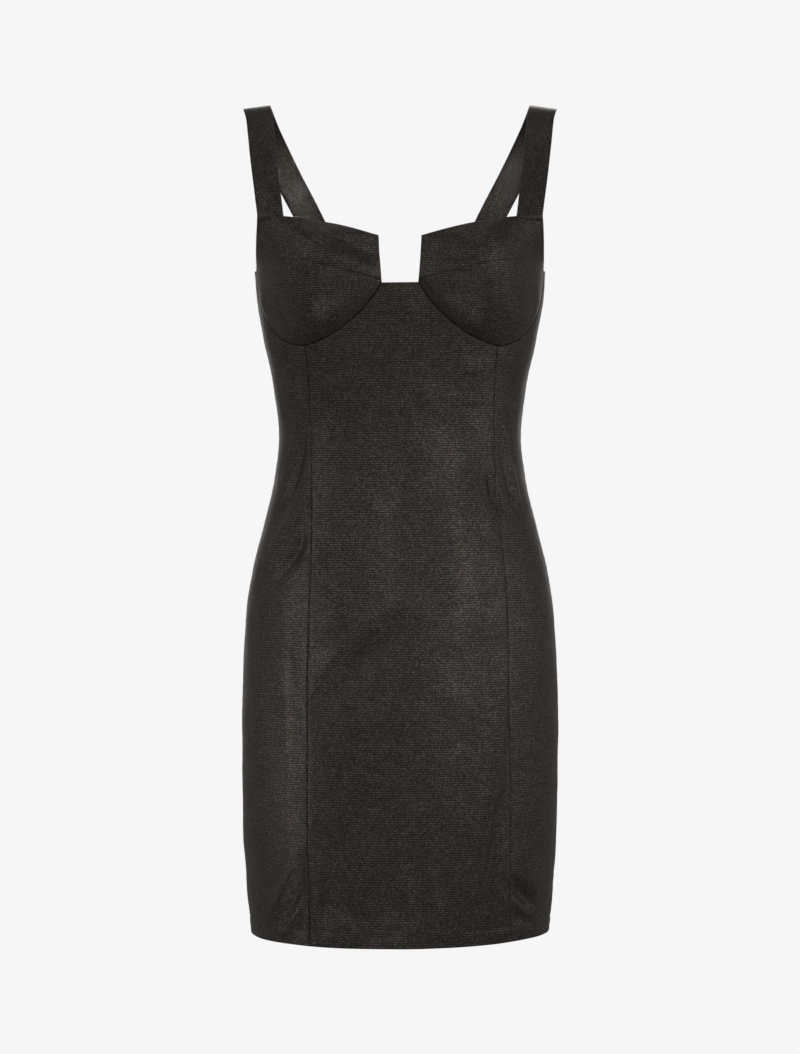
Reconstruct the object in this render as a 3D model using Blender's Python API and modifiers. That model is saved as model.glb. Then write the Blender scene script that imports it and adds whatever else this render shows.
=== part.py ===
"""Sheath mini dress with two-piece bust cups, a squared notch, wide shoulder straps and a back zip.

The dress keeps the hollow form it has when it is worn. Metres, +Z up, the front faces -Y, and +X is on the
right of someone who looks at the front. The origin is midway between the crowns of the two straps, on their
undersides, where a pair of shoulders carries the dress. A drop is a distance below that origin, and a turn is
an angle round the body: 0 at the centre front, 90 degrees at the side seam, 180 degrees at the centre back.
"""

import math
from collections import namedtuple

import bmesh
import bpy
from mathutils import Matrix, Vector

# ---------------------------------------------------------------- sizes that drive the rest

FABRIC = 0.0012  # a panel's wall: the shell with its fused backing
STRAP_CLOTH = 0.0020  # a strap is the same cloth folded double
SEAM_GAP = 0.0003  # between the edges of two pieces that a seam joins
PRINCESS_GAP = 0.0004  # wider, because the walls' inner edges lean together where the front rounds the hip
STRAP_LIFT = 0.0009  # a strap's ends stand this far above the edges they are sewn to, to clear them inside
TAPE = 0.0008  # the zip's tape and closed coil

HEM_DROP = 0.8552  # at the centre front and back
HEM_RISE = 0.0027  # how much higher the hem is at the side seams
UNDERARM_DROP = 0.171
BACK_NECK_DROP = 0.184
ZIP_END_DROP = 0.510

CUP_INNER_REACH = 0.0117  # where the wire line's inner curve would turn upright
CUP_OUTER_REACH = 0.148
CUP_LEVEL = 0.1704  # drop of the wire line's outer tip
CUP_DEPTH = 0.080  # from that level down to the lowest point of the cup
WIRE_INNER_BEND = 1.50  # exponent of the wire line's flatter curve, from the notch to the lowest point
WIRE_OUTER_BEND = 2.15  # exponent of its rounder curve, up to the underarm
CUP_BULGE = 0.027  # how far the cup stands off the body of the dress at its fullest point
CUP_ROUND = 0.9  # exponent of the lower cup's curve up to that point
EDGE_BULGE = 0.007  # how far its top edge stands off, next to the notch

NOTCH_BOTTOM = 0.0183  # half widths of the squared notch
NOTCH_TOP = 0.0215
CUP_SEAM_START = 0.1870  # drop of the cup's cross seam at the notch
CUP_SEAM_RISE = 0.0255
CUP_SEAM_BEND = 1.4  # both this line and the top edge rise fast at first and then level out
TOP_EDGE_START = 0.1427  # drop of the cup's top edge at the notch
TOP_EDGE_RISE = 0.0233
TOP_EDGE_BEND = 1.7
ARMHOLE_REACH = 0.1444  # outer end of the cup's top edge
STRAP_INNER_REACH = 0.1174  # where the strap's inner edge meets that top edge

ZIP_WIDTH = 0.022
SLIDER_DROP = 0.1935
SLIDER_SIZE = Vector((0.0056, 0.0022, 0.0085))
EAR_SIZE = Vector((0.0010, 0.0028, 0.0030))
EAR_SPACE = 0.0028  # clear width between the slider's two ears
PIN_RADIUS = 0.0004
KNUCKLE_BORE = 0.0007
KNUCKLE_RADIUS = 0.0013
KNUCKLE_WIDTH = 0.0022
PULL_PLATE = 0.0010
PULL_TOP = 0.0008  # distances below the pull's axis: where its plate starts, widens, is widest and ends
PULL_NECK_END = 0.0040
PULL_SHOULDER = 0.0090
PULL_LENGTH = 0.0210
PULL_WIDTH = 0.0052
METAL_ROUNDING = 0.0006

CROSS_SEAM_OPEN = 0.004  # how far each cup piece stops short of the cross seam, as a share of its height
WIRE_STEPS = 6  # columns of each half of a cup
CUP_ROWS = 5
CENTRE_COLUMNS = 14
SIDE_COLUMNS = 8
BACK_COLUMNS = 13
STRAP_COLUMNS = 3
STRAP_STEPS = 4  # rows between two stations of a strap
BODY_ROW_SPACE = 0.027

Section = namedtuple("Section", "name drop half_width front back left_square right_square back_square")
SECTIONS = (
    Section("strap base", 0.110, 0.2120, 0.100, 0.091, 2.60, 2.60, 2.30),
    Section("chest", 0.144, 0.1720, 0.104, 0.092, 2.50, 2.50, 2.30),
    Section("underarm", 0.169, 0.1508, 0.106, 0.092, 2.45, 2.45, 2.30),
    Section("bust", 0.198, 0.1487, 0.105, 0.093, 2.40, 2.40, 2.30),
    Section("underbust", 0.240, 0.1414, 0.100, 0.092, 2.40, 2.40, 2.30),
    Section("ribs", 0.290, 0.1312, 0.094, 0.088, 2.30, 2.30, 2.25),
    Section("waist", 0.340, 0.1258, 0.091, 0.084, 2.25, 2.25, 2.20),
    Section("below waist", 0.381, 0.1300, 0.093, 0.090, 2.25, 2.25, 2.20),
    Section("high hip", 0.431, 0.1414, 0.099, 0.101, 2.30, 2.30, 2.20),
    Section("hip", 0.481, 0.1537, 0.105, 0.112, 2.35, 2.30, 2.20),
    Section("seat", 0.531, 0.1604, 0.109, 0.117, 2.35, 2.30, 2.20),
    Section("thigh", 0.640, 0.1643, 0.111, 0.112, 2.40, 2.25, 2.25),
    Section("lower thigh", 0.735, 0.1632, 0.111, 0.107, 2.45, 2.20, 2.25),
    Section("above hem", 0.805, 0.1591, 0.113, 0.105, 2.45, 2.10, 2.30),
    Section("hem", 0.860, 0.1538, 0.114, 0.104, 2.40, 1.90, 2.30),
)

# Where the two front princess seams run: their distances from the centre line, left and right
Princess = namedtuple("Princess", "drop left right")
PRINCESS = (
    Princess(0.100, 0.0965, 0.0988),
    Princess(0.250, 0.0965, 0.0988),
    Princess(0.270, 0.0940, 0.0970),
    Princess(0.305, 0.0920, 0.0958),
    Princess(0.341, 0.0909, 0.0960),
    Princess(0.405, 0.0896, 0.0977),
    Princess(0.456, 0.0895, 0.1033),
    Princess(0.507, 0.0910, 0.1080),
    Princess(0.608, 0.0930, 0.1097),
    Princess(0.709, 0.0930, 0.1112),
    Princess(0.860, 0.0905, 0.1112),
)

# The two edges of the right strap, from just above the cup over the shoulder to just above the back neck
Station = namedtuple("Station", "name inner outer")
STRAP_STATIONS = (
    Station("chest", (0.1248, -0.0685, -0.0620), (0.1522, -0.0610, -0.0620)),
    Station("fore crown", (0.1305, -0.0370, -0.0130), (0.1580, -0.0340, -0.0165)),
    Station("crown", (0.1347, 0.0000, 0.0042), (0.1627, 0.0000, 0.0002)),
    Station("aft crown", (0.1268, 0.0350, -0.0150), (0.1525, 0.0340, -0.0225)),
    Station("shoulder blade", (0.1070, 0.0570, -0.0560), (0.1328, 0.0530, -0.0675)),
    Station("back", (0.0794, 0.0730, -0.1090), (0.1049, 0.0685, -0.1212)),
)
STRAP_BACK_INNER = 0.0460  # where the strap's edges meet the back neck
STRAP_BACK_OUTER = 0.0770

# ---------------------------------------------------------------- the form that every panel lies on


def smooth_rows(rows, drop, column):
    """A column of a table at any drop, by a cubic that never overshoots the rows."""
    place = [row.drop for row in rows]
    value = [getattr(row, column) for row in rows]
    last = len(rows) - 2
    i = max(0, min(last, sum(p <= drop for p in place) - 1))

    def slope(k):
        return (value[k + 1] - value[k]) / (place[k + 1] - place[k])

    def tangent(k):
        if k == 0 or k > last:
            return slope(min(k, last))
        before, after = slope(k - 1), slope(k)
        return 0.0 if before * after <= 0 else 2 * before * after / (before + after)

    span = place[i + 1] - place[i]
    t = max(0.0, min(1.0, (drop - place[i]) / span))
    rise = value[i + 1] - value[i]
    ease = t * t * (3 - 2 * t)
    start = tangent(i) * span * t * (1 - t) ** 2
    end = tangent(i + 1) * span * t * t * (t - 1)
    return value[i] + rise * ease + start + end


def square_of(turn, drop):
    """How square the section is here: 2 is an ellipse, and more has flatter faces."""
    if math.cos(turn) < 0:
        return smooth_rows(SECTIONS, drop, "back_square")
    return smooth_rows(SECTIONS, drop, "left_square" if turn < 0 else "right_square")


def body_point(turn, drop):
    """A point of the dress's outer face, from its turn round the body and its drop."""
    power = 2 / square_of(turn, drop)
    side, fore = math.sin(turn), math.cos(turn)
    depth = smooth_rows(SECTIONS, drop, "front" if fore > 0 else "back")
    x = smooth_rows(SECTIONS, drop, "half_width") * math.copysign(abs(side) ** power, side)
    y = -depth * math.copysign(abs(fore) ** power, fore)
    return Vector((x, y, -drop))


def settle(turn, drop):
    """A row's drop once the hem's rise at the side seams is shared out over the rows below the cups."""
    lowest = CUP_LEVEL + CUP_DEPTH
    share = max(0.0, (drop - lowest) / (HEM_DROP - lowest))
    return drop - HEM_RISE * share * math.sin(turn) ** 2


def turn_at(x, drop, back=False):
    """The turn of the point that lies at x, on the front or on the back."""
    near = math.copysign(0.001, x)
    square = square_of(math.pi - near if back else near, drop)
    share = min(1.0, abs(x) / smooth_rows(SECTIONS, drop, "half_width"))
    turn = math.asin(share ** (square / 2))
    return math.copysign(math.pi - turn if back else turn, x)


# ---------------------------------------------------------------- the cups' lines, in the front view


class Cup:
    """The lines of one cup: its wire line, its cross seam and its top edge."""

    def __init__(self, side):
        self.side = side
        self.centre = PRINCESS[0].right if side > 0 else PRINCESS[0].left
        self.inner_radius = self.centre - CUP_INNER_REACH
        self.outer_radius = CUP_OUTER_REACH - self.centre
        share = (self.centre - NOTCH_BOTTOM) / self.inner_radius
        self.first = math.acos(share ** (WIRE_INNER_BEND / 2))

    def wire(self, angle, inset=0.0):
        """(reach, drop) of the wire line: 90 degrees at its lowest point, 180 at the underarm."""
        inner = angle < math.pi / 2
        radius = (self.inner_radius if inner else self.outer_radius) - inset
        power = 2 / (WIRE_INNER_BEND if inner else WIRE_OUTER_BEND)
        aside = -math.copysign(abs(math.cos(angle)) ** power, math.cos(angle))
        down = max(0.0, math.sin(angle)) ** power
        return self.centre + radius * aside, CUP_LEVEL + (CUP_DEPTH - inset) * down

    def inner_angles(self):
        """From the notch to the lowest point."""
        span = math.pi / 2 - self.first
        return [self.first + span * k / WIRE_STEPS for k in range(WIRE_STEPS + 1)]

    def outer_angles(self):
        """From the lowest point to the underarm."""
        return [math.pi / 2 * (1 + k / WIRE_STEPS) for k in range(WIRE_STEPS + 1)]

    def share(self, reach):
        return max(0.0, min(1.0, (reach - NOTCH_BOTTOM) / (CUP_OUTER_REACH - NOTCH_BOTTOM)))

    def seam_drop(self, reach):
        return CUP_SEAM_START - CUP_SEAM_RISE * (1 - (1 - self.share(reach)) ** CUP_SEAM_BEND)

    def point(self, angle, level, inset=0.0):
        """Level 0 is the wire line, 1 is the cross seam and 2 is the top edge."""
        reach, low = self.wire(angle, inset)
        share = self.share(reach)
        middle = self.seam_drop(reach)
        full = CUP_BULGE * math.sin(math.pi * share)
        edge = EDGE_BULGE * (1 - share * share)
        if level <= 1:
            drop = low + (middle - low) * level
            forward = full * math.sin(math.pi / 2 * level) ** CUP_ROUND
        else:
            height = level - 1
            top_reach = NOTCH_TOP + (ARMHOLE_REACH - NOTCH_TOP) * share
            drop = middle + (top_edge_drop(top_reach) - middle) * height
            reach += (top_reach - reach) * height
            forward = edge + (full - edge) * math.cos(math.pi / 2 * height)
        base = body_point(turn_at(self.side * reach, drop), drop)
        return base - Vector((0, forward, 0))


def top_edge_drop(reach):
    share = max(0.0, min(1.0, (reach - NOTCH_TOP) / (ARMHOLE_REACH - NOTCH_TOP)))
    return TOP_EDGE_START - TOP_EDGE_RISE * (1 - (1 - share) ** TOP_EDGE_BEND)


# ---------------------------------------------------------------- making the pieces


def clear_scene():
    for obj in list(bpy.data.objects):
        bpy.data.objects.remove(obj)


def make_material(name, colour, roughness, metallic=0.0):
    material = bpy.data.materials.new(name)
    material.use_nodes = True
    shader = material.node_tree.nodes["Principled BSDF"]
    shader.inputs["Base Color"].default_value = (*colour, 1.0)
    shader.inputs["Roughness"].default_value = roughness
    shader.inputs["Metallic"].default_value = metallic
    return material


def add_object(name, mesh, material, collection):
    obj = bpy.data.objects.new(name, mesh)
    obj.data.materials.append(material)
    collection.objects.link(obj)
    return obj


def shell(name, grid, material, collection, thickness=FABRIC):
    """A wall of cloth: an open surface through a grid of points, thickened inwards.

    The grid's rows run from top to bottom, and each row from left to right as seen from outside.
    """
    work = bmesh.new()
    rows = [[work.verts.new(point) for point in row] for row in grid]
    for above, below in zip(rows, rows[1:]):
        for k in range(len(above) - 1):
            work.faces.new((above[k], below[k], below[k + 1], above[k + 1]))
    mesh = bpy.data.meshes.new(name)
    work.to_mesh(mesh)
    work.free()
    mesh.shade_smooth()
    obj = add_object(name, mesh, material, collection)
    wall = obj.modifiers.new("Wall", "SOLIDIFY")
    wall.thickness = thickness
    wall.offset = -1
    return obj


def body_grid(rows, side=1):
    """Points of a panel: each row is a list of (turn, drop), on the left side from right to left."""
    return [[body_point(turn, settle(turn, drop)) for turn, drop in row[::side]] for row in rows]


def spread(start, end, steps):
    return [(start * (steps - k) + end * k) / steps for k in range(steps + 1)]


def body_drops(start):
    """Row heights from below the cups to the hem."""
    count = round((HEM_DROP - start) / BODY_ROW_SPACE)
    return spread(start, HEM_DROP, count)[1:]


def princess_edge(side, drop, away):
    """Turn of the princess seam's edge on one side; away is the half gap that leaves the seam open."""
    reach = smooth_rows(PRINCESS, drop, "right" if side > 0 else "left")
    return turn_at(side * (reach + away), drop)


def front_edge(cup, angles, away):
    """(turn, drop) of a front panel's edge along one cup's wire line, and then down its princess seam."""
    edge = []
    for angle in angles:
        reach, drop = cup.wire(angle, -SEAM_GAP / 2)
        edge.append((turn_at(cup.side * (reach + away), drop), drop))
    lowest = CUP_LEVEL + CUP_DEPTH
    return edge + [(princess_edge(cup.side, drop, away), drop) for drop in body_drops(lowest)]


def make_centre_front(cups, cloth, collection):
    """From the notch down between the cups and the princess seams to the hem."""
    left = front_edge(cups[-1], cups[-1].inner_angles(), -PRINCESS_GAP / 2)
    right = front_edge(cups[1], cups[1].inner_angles(), -PRINCESS_GAP / 2)
    rows = []
    for (left_turn, left_drop), (right_turn, right_drop) in zip(left, right):
        turns = spread(left_turn, right_turn, CENTRE_COLUMNS)
        rows.append(list(zip(turns, spread(left_drop, right_drop, CENTRE_COLUMNS))))
    return shell("front_centre", body_grid(rows), cloth, collection)


def make_side_front(cup, name, cloth, collection):
    """From the cup's outer half and the princess seam round to the side seam."""
    rows = []
    for turn, drop in front_edge(cup, cup.outer_angles()[::-1], PRINCESS_GAP / 2):
        seam = cup.side * (math.pi / 2 - side_seam_angle(drop, "front"))
        rows.append([(t, drop) for t in spread(turn, seam, SIDE_COLUMNS)])
    return shell(name, body_grid(rows, cup.side), cloth, collection)


def side_seam_angle(drop, half):
    """The angle by which the front or the back half stops short of the side seam, to leave half a gap."""
    depth = smooth_rows(SECTIONS, drop, half)
    square = square_of(0.0 if half == "front" else math.pi, drop)
    return math.asin((SEAM_GAP / 2 / depth) ** (square / 2))


def back_neck(turn):
    """Drop of the back's top edge: level at the underarm, a little lower at the centre back."""
    share = (abs(turn) - math.pi / 2) / (math.pi / 2)
    ease = share * share * (3 - 2 * share)
    return UNDERARM_DROP + (BACK_NECK_DROP - UNDERARM_DROP) * ease


def back_drops(turn):
    """Row heights of the back, from its top edge to the hem, in the column at this turn."""
    top = back_neck(turn)
    return spread(top, HEM_DROP, round((HEM_DROP - BACK_NECK_DROP) / BODY_ROW_SPACE))


def make_back(side, name, cloth, collection):
    """Half of the back, from the side seam to the zip."""
    seam = side * (math.pi / 2 + side_seam_angle(UNDERARM_DROP, "back"))
    tape_edge = turn_at(side * ZIP_WIDTH / 2, BACK_NECK_DROP, back=True)
    columns = spread(seam, tape_edge, BACK_COLUMNS - 1)
    rows = []
    for k, drop in enumerate(back_drops(math.pi)):
        row = [(turn, back_drops(turn)[k]) for turn in columns]
        rows.append(row + [(turn_at(side * SEAM_GAP / 2, drop, back=True), drop)])
    return shell(name, body_grid(rows, side), cloth, collection)


def make_cup(cup, name, levels, cloth, collection):
    """One piece of a cup, between two of its lines."""
    angles = cup.inner_angles() + cup.outer_angles()[1:]
    rows = spread(*levels, CUP_ROWS)
    grid = [[cup.point(angle, level, SEAM_GAP / 2) for angle in angles[:: cup.side]] for level in rows]
    return shell(name, grid, cloth, collection)


def curve_through(points, steps):
    """Points along a Catmull-Rom curve, with the given points among them."""
    ends = [points[0] * 2 - points[1], *points, points[-1] * 2 - points[-2]]
    line = []
    for k in range(1, len(ends) - 2):
        a, b, c, d = ends[k - 1 : k + 3]
        for t in spread(0.0, 1.0, steps)[:-1]:
            square, cube = a * 2 - b * 5 + c * 4 - d, b * 3 - a - c * 3 + d
            line.append((b * 2 + (c - a) * t + square * t**2 + cube * t**3) / 2)
    return line + [points[-1]]


def strap_end_on_cup(cup, share):
    """A point just above the cup's top edge, where the strap's lower end is sewn to it."""
    reach = STRAP_INNER_REACH + (ARMHOLE_REACH - STRAP_INNER_REACH) * share
    drop = top_edge_drop(reach)
    cup_share = (reach - NOTCH_TOP) / (ARMHOLE_REACH - NOTCH_TOP)
    stand_off = EDGE_BULGE * (1 - cup_share * cup_share)
    return body_point(turn_at(cup.side * reach, drop), drop) + Vector((0, -stand_off, STRAP_LIFT))


def strap_end_on_back(side, share):
    """A point just above the back neck, where the strap's other end is sewn to it."""
    reach = STRAP_BACK_INNER + (STRAP_BACK_OUTER - STRAP_BACK_INNER) * share
    turn = turn_at(side * reach, BACK_NECK_DROP, back=True)
    return body_point(turn, back_neck(turn)) + Vector((0, 0, STRAP_LIFT))


def make_strap(cup, name, cloth, collection):
    """A flat band from the cup's top edge over the shoulder to the back neck."""
    mirror = Vector((cup.side, 1, 1))
    lines = []
    for share in spread(0.0, 1.0, STRAP_COLUMNS):
        stations = [strap_end_on_cup(cup, share)]
        for station in STRAP_STATIONS:
            inner, outer = Vector(station.inner), Vector(station.outer)
            stations.append(inner.lerp(outer, share) * mirror)
        stations.append(strap_end_on_back(cup.side, share))
        lines.append(curve_through(stations[::-1], STRAP_STEPS))
    return shell(name, list(zip(*lines[:: cup.side])), cloth, collection, STRAP_CLOTH)


def make_zip_tape(tape, collection):
    """The zip's closed tapes, inside the back, on the same rows as the back so that they lie flat to it."""
    edge = turn_at(ZIP_WIDTH / 2, BACK_NECK_DROP, back=True)
    turns = (edge, math.pi, 2 * math.pi - edge)
    rows = [[(turn, drop) for turn in turns] for drop in back_drops(math.pi) if drop < ZIP_END_DROP]
    inside = Vector((0, -FABRIC - 2 * SEAM_GAP, 0))
    grid = [[point + inside for point in row] for row in body_grid(rows)]
    return shell("back_zip_tape", grid, tape, collection, TAPE)


# ---------------------------------------------------------------- the zip's slider and its pull


def block(name, centre, size, metal, collection):
    bpy.ops.mesh.primitive_cube_add(size=1, location=centre)
    obj = bpy.context.object
    obj.name = name
    obj.data.transform(Matrix.Diagonal((*size, 1)))
    return claim(obj, metal, collection)


def rod(name, centre, radius, length, metal, collection):
    """A round bar along X."""
    turned = (0, math.pi / 2, 0)
    bpy.ops.mesh.primitive_cylinder_add(
        vertices=16, radius=radius, depth=length, location=centre, rotation=turned
    )
    obj = bpy.context.object
    obj.name = name
    return claim(obj, metal, collection)


def claim(obj, material, collection):
    """Gives a new primitive its material and its place in the collection."""
    for old in list(obj.users_collection):
        old.objects.unlink(obj)
    collection.objects.link(obj)
    obj.data.materials.clear()
    obj.data.materials.append(material)
    return obj


def combine(obj, other, operation, cutters):
    """Joins or cuts obj with other, which is kept only as a cutter."""
    change = obj.modifiers.new(operation.title(), "BOOLEAN")
    change.operation = operation
    change.object = other
    for old in list(other.users_collection):
        old.objects.unlink(other)
    cutters.objects.link(other)
    other.hide_render = True
    other.display_type = "WIRE"


def hinge_place():
    """The pull's axis: the middle of the pin between the slider's ears."""
    face = body_point(math.pi, SLIDER_DROP).y + SEAM_GAP + SLIDER_SIZE.y
    return Vector((0, face + KNUCKLE_RADIUS + SEAM_GAP, -SLIDER_DROP + SLIDER_SIZE.z / 4))


def make_slider(metal, collection, cutters):
    """A block on the closed seam, with two ears and a pin for the pull."""
    hinge = hinge_place()
    base_y = hinge.y - KNUCKLE_RADIUS - SEAM_GAP - SLIDER_SIZE.y / 2
    slider = block("zip_slider", (0, base_y, -SLIDER_DROP), SLIDER_SIZE, metal, collection)
    rounding = slider.modifiers.new("Rounding", "BEVEL")
    rounding.width = METAL_ROUNDING
    rounding.segments = 2
    for side in (-1, 1):
        centre = (side * (EAR_SPACE + EAR_SIZE.x) / 2, hinge.y - EAR_SIZE.y / 4, hinge.z)
        combine(slider, block(f"ear_{side}", centre, EAR_SIZE, metal, collection), "UNION", cutters)
    pin = rod("pin", hinge, PIN_RADIUS, EAR_SPACE + EAR_SIZE.x, metal, collection)
    combine(slider, pin, "UNION", cutters)
    return slider


def pull_outline():
    """Half of the tab's outline, as (distance from the middle, distance below the axis)."""
    neck = KNUCKLE_WIDTH / 2
    wide = PULL_WIDTH / 2
    low = PULL_LENGTH - wide
    shoulder = [(neck, PULL_TOP), (neck, PULL_NECK_END), (wide, PULL_SHOULDER)]
    tip = [(wide * math.cos(a), low + wide * math.sin(a)) for a in spread(0.0, math.pi / 2, 6)]
    return shoulder + tip


def make_pull(metal, collection, cutters):
    """The drop-shaped tab, which swings on the slider's pin."""
    half = pull_outline()
    outline = half + [(-x, z) for x, z in reversed(half[:-1])]
    flat = bpy.data.curves.new("zip_pull_outline", "CURVE")
    flat.dimensions = "2D"
    flat.fill_mode = "BOTH"
    flat.extrude = PULL_PLATE / 2
    spline = flat.splines.new("POLY")
    spline.points.add(len(outline) - 1)
    for point, (x, below) in zip(spline.points, outline):
        point.co = (x, -below, 0, 1)
    spline.use_cyclic_u = True
    sketch = bpy.data.objects.new("zip_pull_sketch", flat)
    collection.objects.link(sketch)
    bpy.context.view_layer.update()
    graph = bpy.context.evaluated_depsgraph_get()
    mesh = bpy.data.meshes.new_from_object(sketch.evaluated_get(graph))
    bpy.data.objects.remove(sketch)
    weld = bmesh.new()
    weld.from_mesh(mesh)
    bmesh.ops.remove_doubles(weld, verts=weld.verts, dist=0.00001)
    bmesh.ops.rotate(weld, verts=weld.verts, matrix=Matrix.Rotation(math.pi / 2, 3, "X"))
    weld.to_mesh(mesh)
    weld.free()
    mesh.materials.clear()
    pull = add_object("zip_pull", mesh, metal, collection)
    pull.location = hinge_place()
    knuckle = rod("knuckle", hinge_place(), KNUCKLE_RADIUS, KNUCKLE_WIDTH, metal, collection)
    combine(pull, knuckle, "UNION", cutters)
    bore = rod("bore", hinge_place(), KNUCKLE_BORE, KNUCKLE_WIDTH * 2, metal, collection)
    combine(pull, bore, "DIFFERENCE", cutters)
    return pull


def main():
    clear_scene()
    dress = bpy.data.collections.new("sheath_dress")
    cutters = bpy.data.collections.new("cutters")
    bpy.context.scene.collection.children.link(dress)
    bpy.context.scene.collection.children.link(cutters)
    cloth = make_material("glitter_cloth", (0.030, 0.026, 0.023), 0.55)
    tape = make_material("zip_tape", (0.012, 0.012, 0.012), 0.8)
    metal = make_material("zip_metal", (0.05, 0.05, 0.05), 0.35, metallic=1.0)

    cups = {side: Cup(side) for side in (-1, 1)}
    make_centre_front(cups, cloth, dress)
    for side, word in ((-1, "left"), (1, "right")):
        cup = cups[side]
        make_side_front(cup, f"front_side_{word}", cloth, dress)
        make_back(side, f"back_{word}", cloth, dress)
        make_cup(cup, f"cup_upper_{word}", (2, 1 + CROSS_SEAM_OPEN), cloth, dress)
        make_cup(cup, f"cup_lower_{word}", (1 - CROSS_SEAM_OPEN, 0), cloth, dress)
        make_strap(cup, f"strap_{word}", cloth, dress)
    make_zip_tape(tape, dress)
    make_slider(metal, dress, cutters)
    make_pull(metal, dress, cutters)


main()
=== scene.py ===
"""The looks of the sheath dress: its glitter-knit panels, cups and straps, and its concealed back zip.

Metres, +Z up, the front faces -Y. A drop is a distance below the origin, and a turn is an angle round the
body: 0 at the centre front, 90 degrees at the side seam, 180 degrees at the centre back. The form repeats
the source's own sizes, and each piece of cloth is a thin closed wall on that form, with creases and seams.
"""

import itertools
import math
from collections import namedtuple

import bpy
import numpy as np
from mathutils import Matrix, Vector


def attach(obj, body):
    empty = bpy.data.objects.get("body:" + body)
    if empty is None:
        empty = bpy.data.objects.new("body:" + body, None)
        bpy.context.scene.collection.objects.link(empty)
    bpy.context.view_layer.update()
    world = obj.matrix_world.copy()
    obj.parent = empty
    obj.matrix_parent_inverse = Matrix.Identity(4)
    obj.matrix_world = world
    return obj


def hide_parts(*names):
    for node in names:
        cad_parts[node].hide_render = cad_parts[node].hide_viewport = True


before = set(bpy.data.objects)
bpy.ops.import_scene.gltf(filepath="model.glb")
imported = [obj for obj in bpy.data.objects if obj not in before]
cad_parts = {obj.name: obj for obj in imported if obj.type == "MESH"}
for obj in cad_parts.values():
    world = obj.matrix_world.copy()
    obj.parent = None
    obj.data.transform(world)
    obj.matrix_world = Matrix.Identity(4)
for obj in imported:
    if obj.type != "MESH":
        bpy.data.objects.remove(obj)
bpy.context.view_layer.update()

# ---------------------------------------------------------------- sizes that repeat the source's

WALL = 0.0012  # a panel's wall: the shell with its lining
STRAP_WALL = 0.0020  # a strap is the same cloth folded double
STRAP_LIFT = 0.0009
HEM_DROP = 0.8552  # at the centre front and back
HEM_RISE = 0.0027  # how much higher the hem is at the side seams
UNDERARM_DROP = 0.171
BACK_NECK_DROP = 0.184
SEAM_GAP = 0.0003
ZIP_WIDTH = 0.022
ZIP_END_DROP = 0.510

CUP_INNER_REACH = 0.0117
CUP_OUTER_REACH = 0.148
CUP_LEVEL = 0.1704
CUP_DEPTH = 0.080
WIRE_INNER_BEND = 1.50
WIRE_OUTER_BEND = 2.15
CUP_BULGE = 0.027
CUP_ROUND = 0.9
EDGE_BULGE = 0.007
NOTCH_BOTTOM = 0.0183
NOTCH_TOP = 0.0215
CUP_SEAM_START = 0.1870
CUP_SEAM_RISE = 0.0255
CUP_SEAM_BEND = 1.4
TOP_EDGE_START = 0.1427
TOP_EDGE_RISE = 0.0233
TOP_EDGE_BEND = 1.7
ARMHOLE_REACH = 0.1444
STRAP_INNER_REACH = 0.1174
STRAP_BACK_INNER = 0.0460
STRAP_BACK_OUTER = 0.0770

Section = namedtuple("Section", "name drop half_width front back left_square right_square back_square")
SECTIONS = (
    Section("strap base", 0.110, 0.2120, 0.100, 0.091, 2.60, 2.60, 2.30),
    Section("chest", 0.144, 0.1720, 0.104, 0.092, 2.50, 2.50, 2.30),
    Section("underarm", 0.169, 0.1508, 0.106, 0.092, 2.45, 2.45, 2.30),
    Section("bust", 0.198, 0.1487, 0.105, 0.093, 2.40, 2.40, 2.30),
    Section("underbust", 0.240, 0.1414, 0.100, 0.092, 2.40, 2.40, 2.30),
    Section("ribs", 0.290, 0.1312, 0.094, 0.088, 2.30, 2.30, 2.25),
    Section("waist", 0.340, 0.1258, 0.091, 0.084, 2.25, 2.25, 2.20),
    Section("below waist", 0.381, 0.1300, 0.093, 0.090, 2.25, 2.25, 2.20),
    Section("high hip", 0.431, 0.1414, 0.099, 0.101, 2.30, 2.30, 2.20),
    Section("hip", 0.481, 0.1537, 0.105, 0.112, 2.35, 2.30, 2.20),
    Section("seat", 0.531, 0.1604, 0.109, 0.117, 2.35, 2.30, 2.20),
    Section("thigh", 0.640, 0.1643, 0.111, 0.112, 2.40, 2.25, 2.25),
    Section("lower thigh", 0.735, 0.1632, 0.111, 0.107, 2.45, 2.20, 2.25),
    Section("above hem", 0.805, 0.1591, 0.113, 0.105, 2.45, 2.10, 2.30),
    Section("hem", 0.860, 0.1538, 0.114, 0.104, 2.40, 1.90, 2.30),
)

# The two front princess seams' distances from the centre line
Princess = namedtuple("Princess", "drop left right")
PRINCESS = (
    Princess(0.100, 0.0965, 0.0988),
    Princess(0.250, 0.0965, 0.0988),
    Princess(0.270, 0.0940, 0.0970),
    Princess(0.305, 0.0920, 0.0958),
    Princess(0.341, 0.0909, 0.0960),
    Princess(0.405, 0.0896, 0.0977),
    Princess(0.456, 0.0895, 0.1033),
    Princess(0.507, 0.0910, 0.1080),
    Princess(0.608, 0.0930, 0.1097),
    Princess(0.709, 0.0930, 0.1112),
    Princess(0.860, 0.0905, 0.1112),
)

# The right strap's two edges, from just above the cup over the shoulder to just above the back neck
Station = namedtuple("Station", "name inner outer")
STRAP_STATIONS = (
    Station("chest", (0.1248, -0.0685, -0.0620), (0.1522, -0.0610, -0.0620)),
    Station("fore crown", (0.1305, -0.0370, -0.0130), (0.1580, -0.0340, -0.0165)),
    Station("crown", (0.1347, 0.0000, 0.0042), (0.1627, 0.0000, 0.0002)),
    Station("aft crown", (0.1268, 0.0350, -0.0150), (0.1525, 0.0340, -0.0225)),
    Station("shoulder blade", (0.1070, 0.0570, -0.0560), (0.1328, 0.0530, -0.0675)),
    Station("back", (0.0794, 0.0730, -0.1090), (0.1049, 0.0685, -0.1212)),
)

# ---------------------------------------------------------------- sizes of the finish

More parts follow.
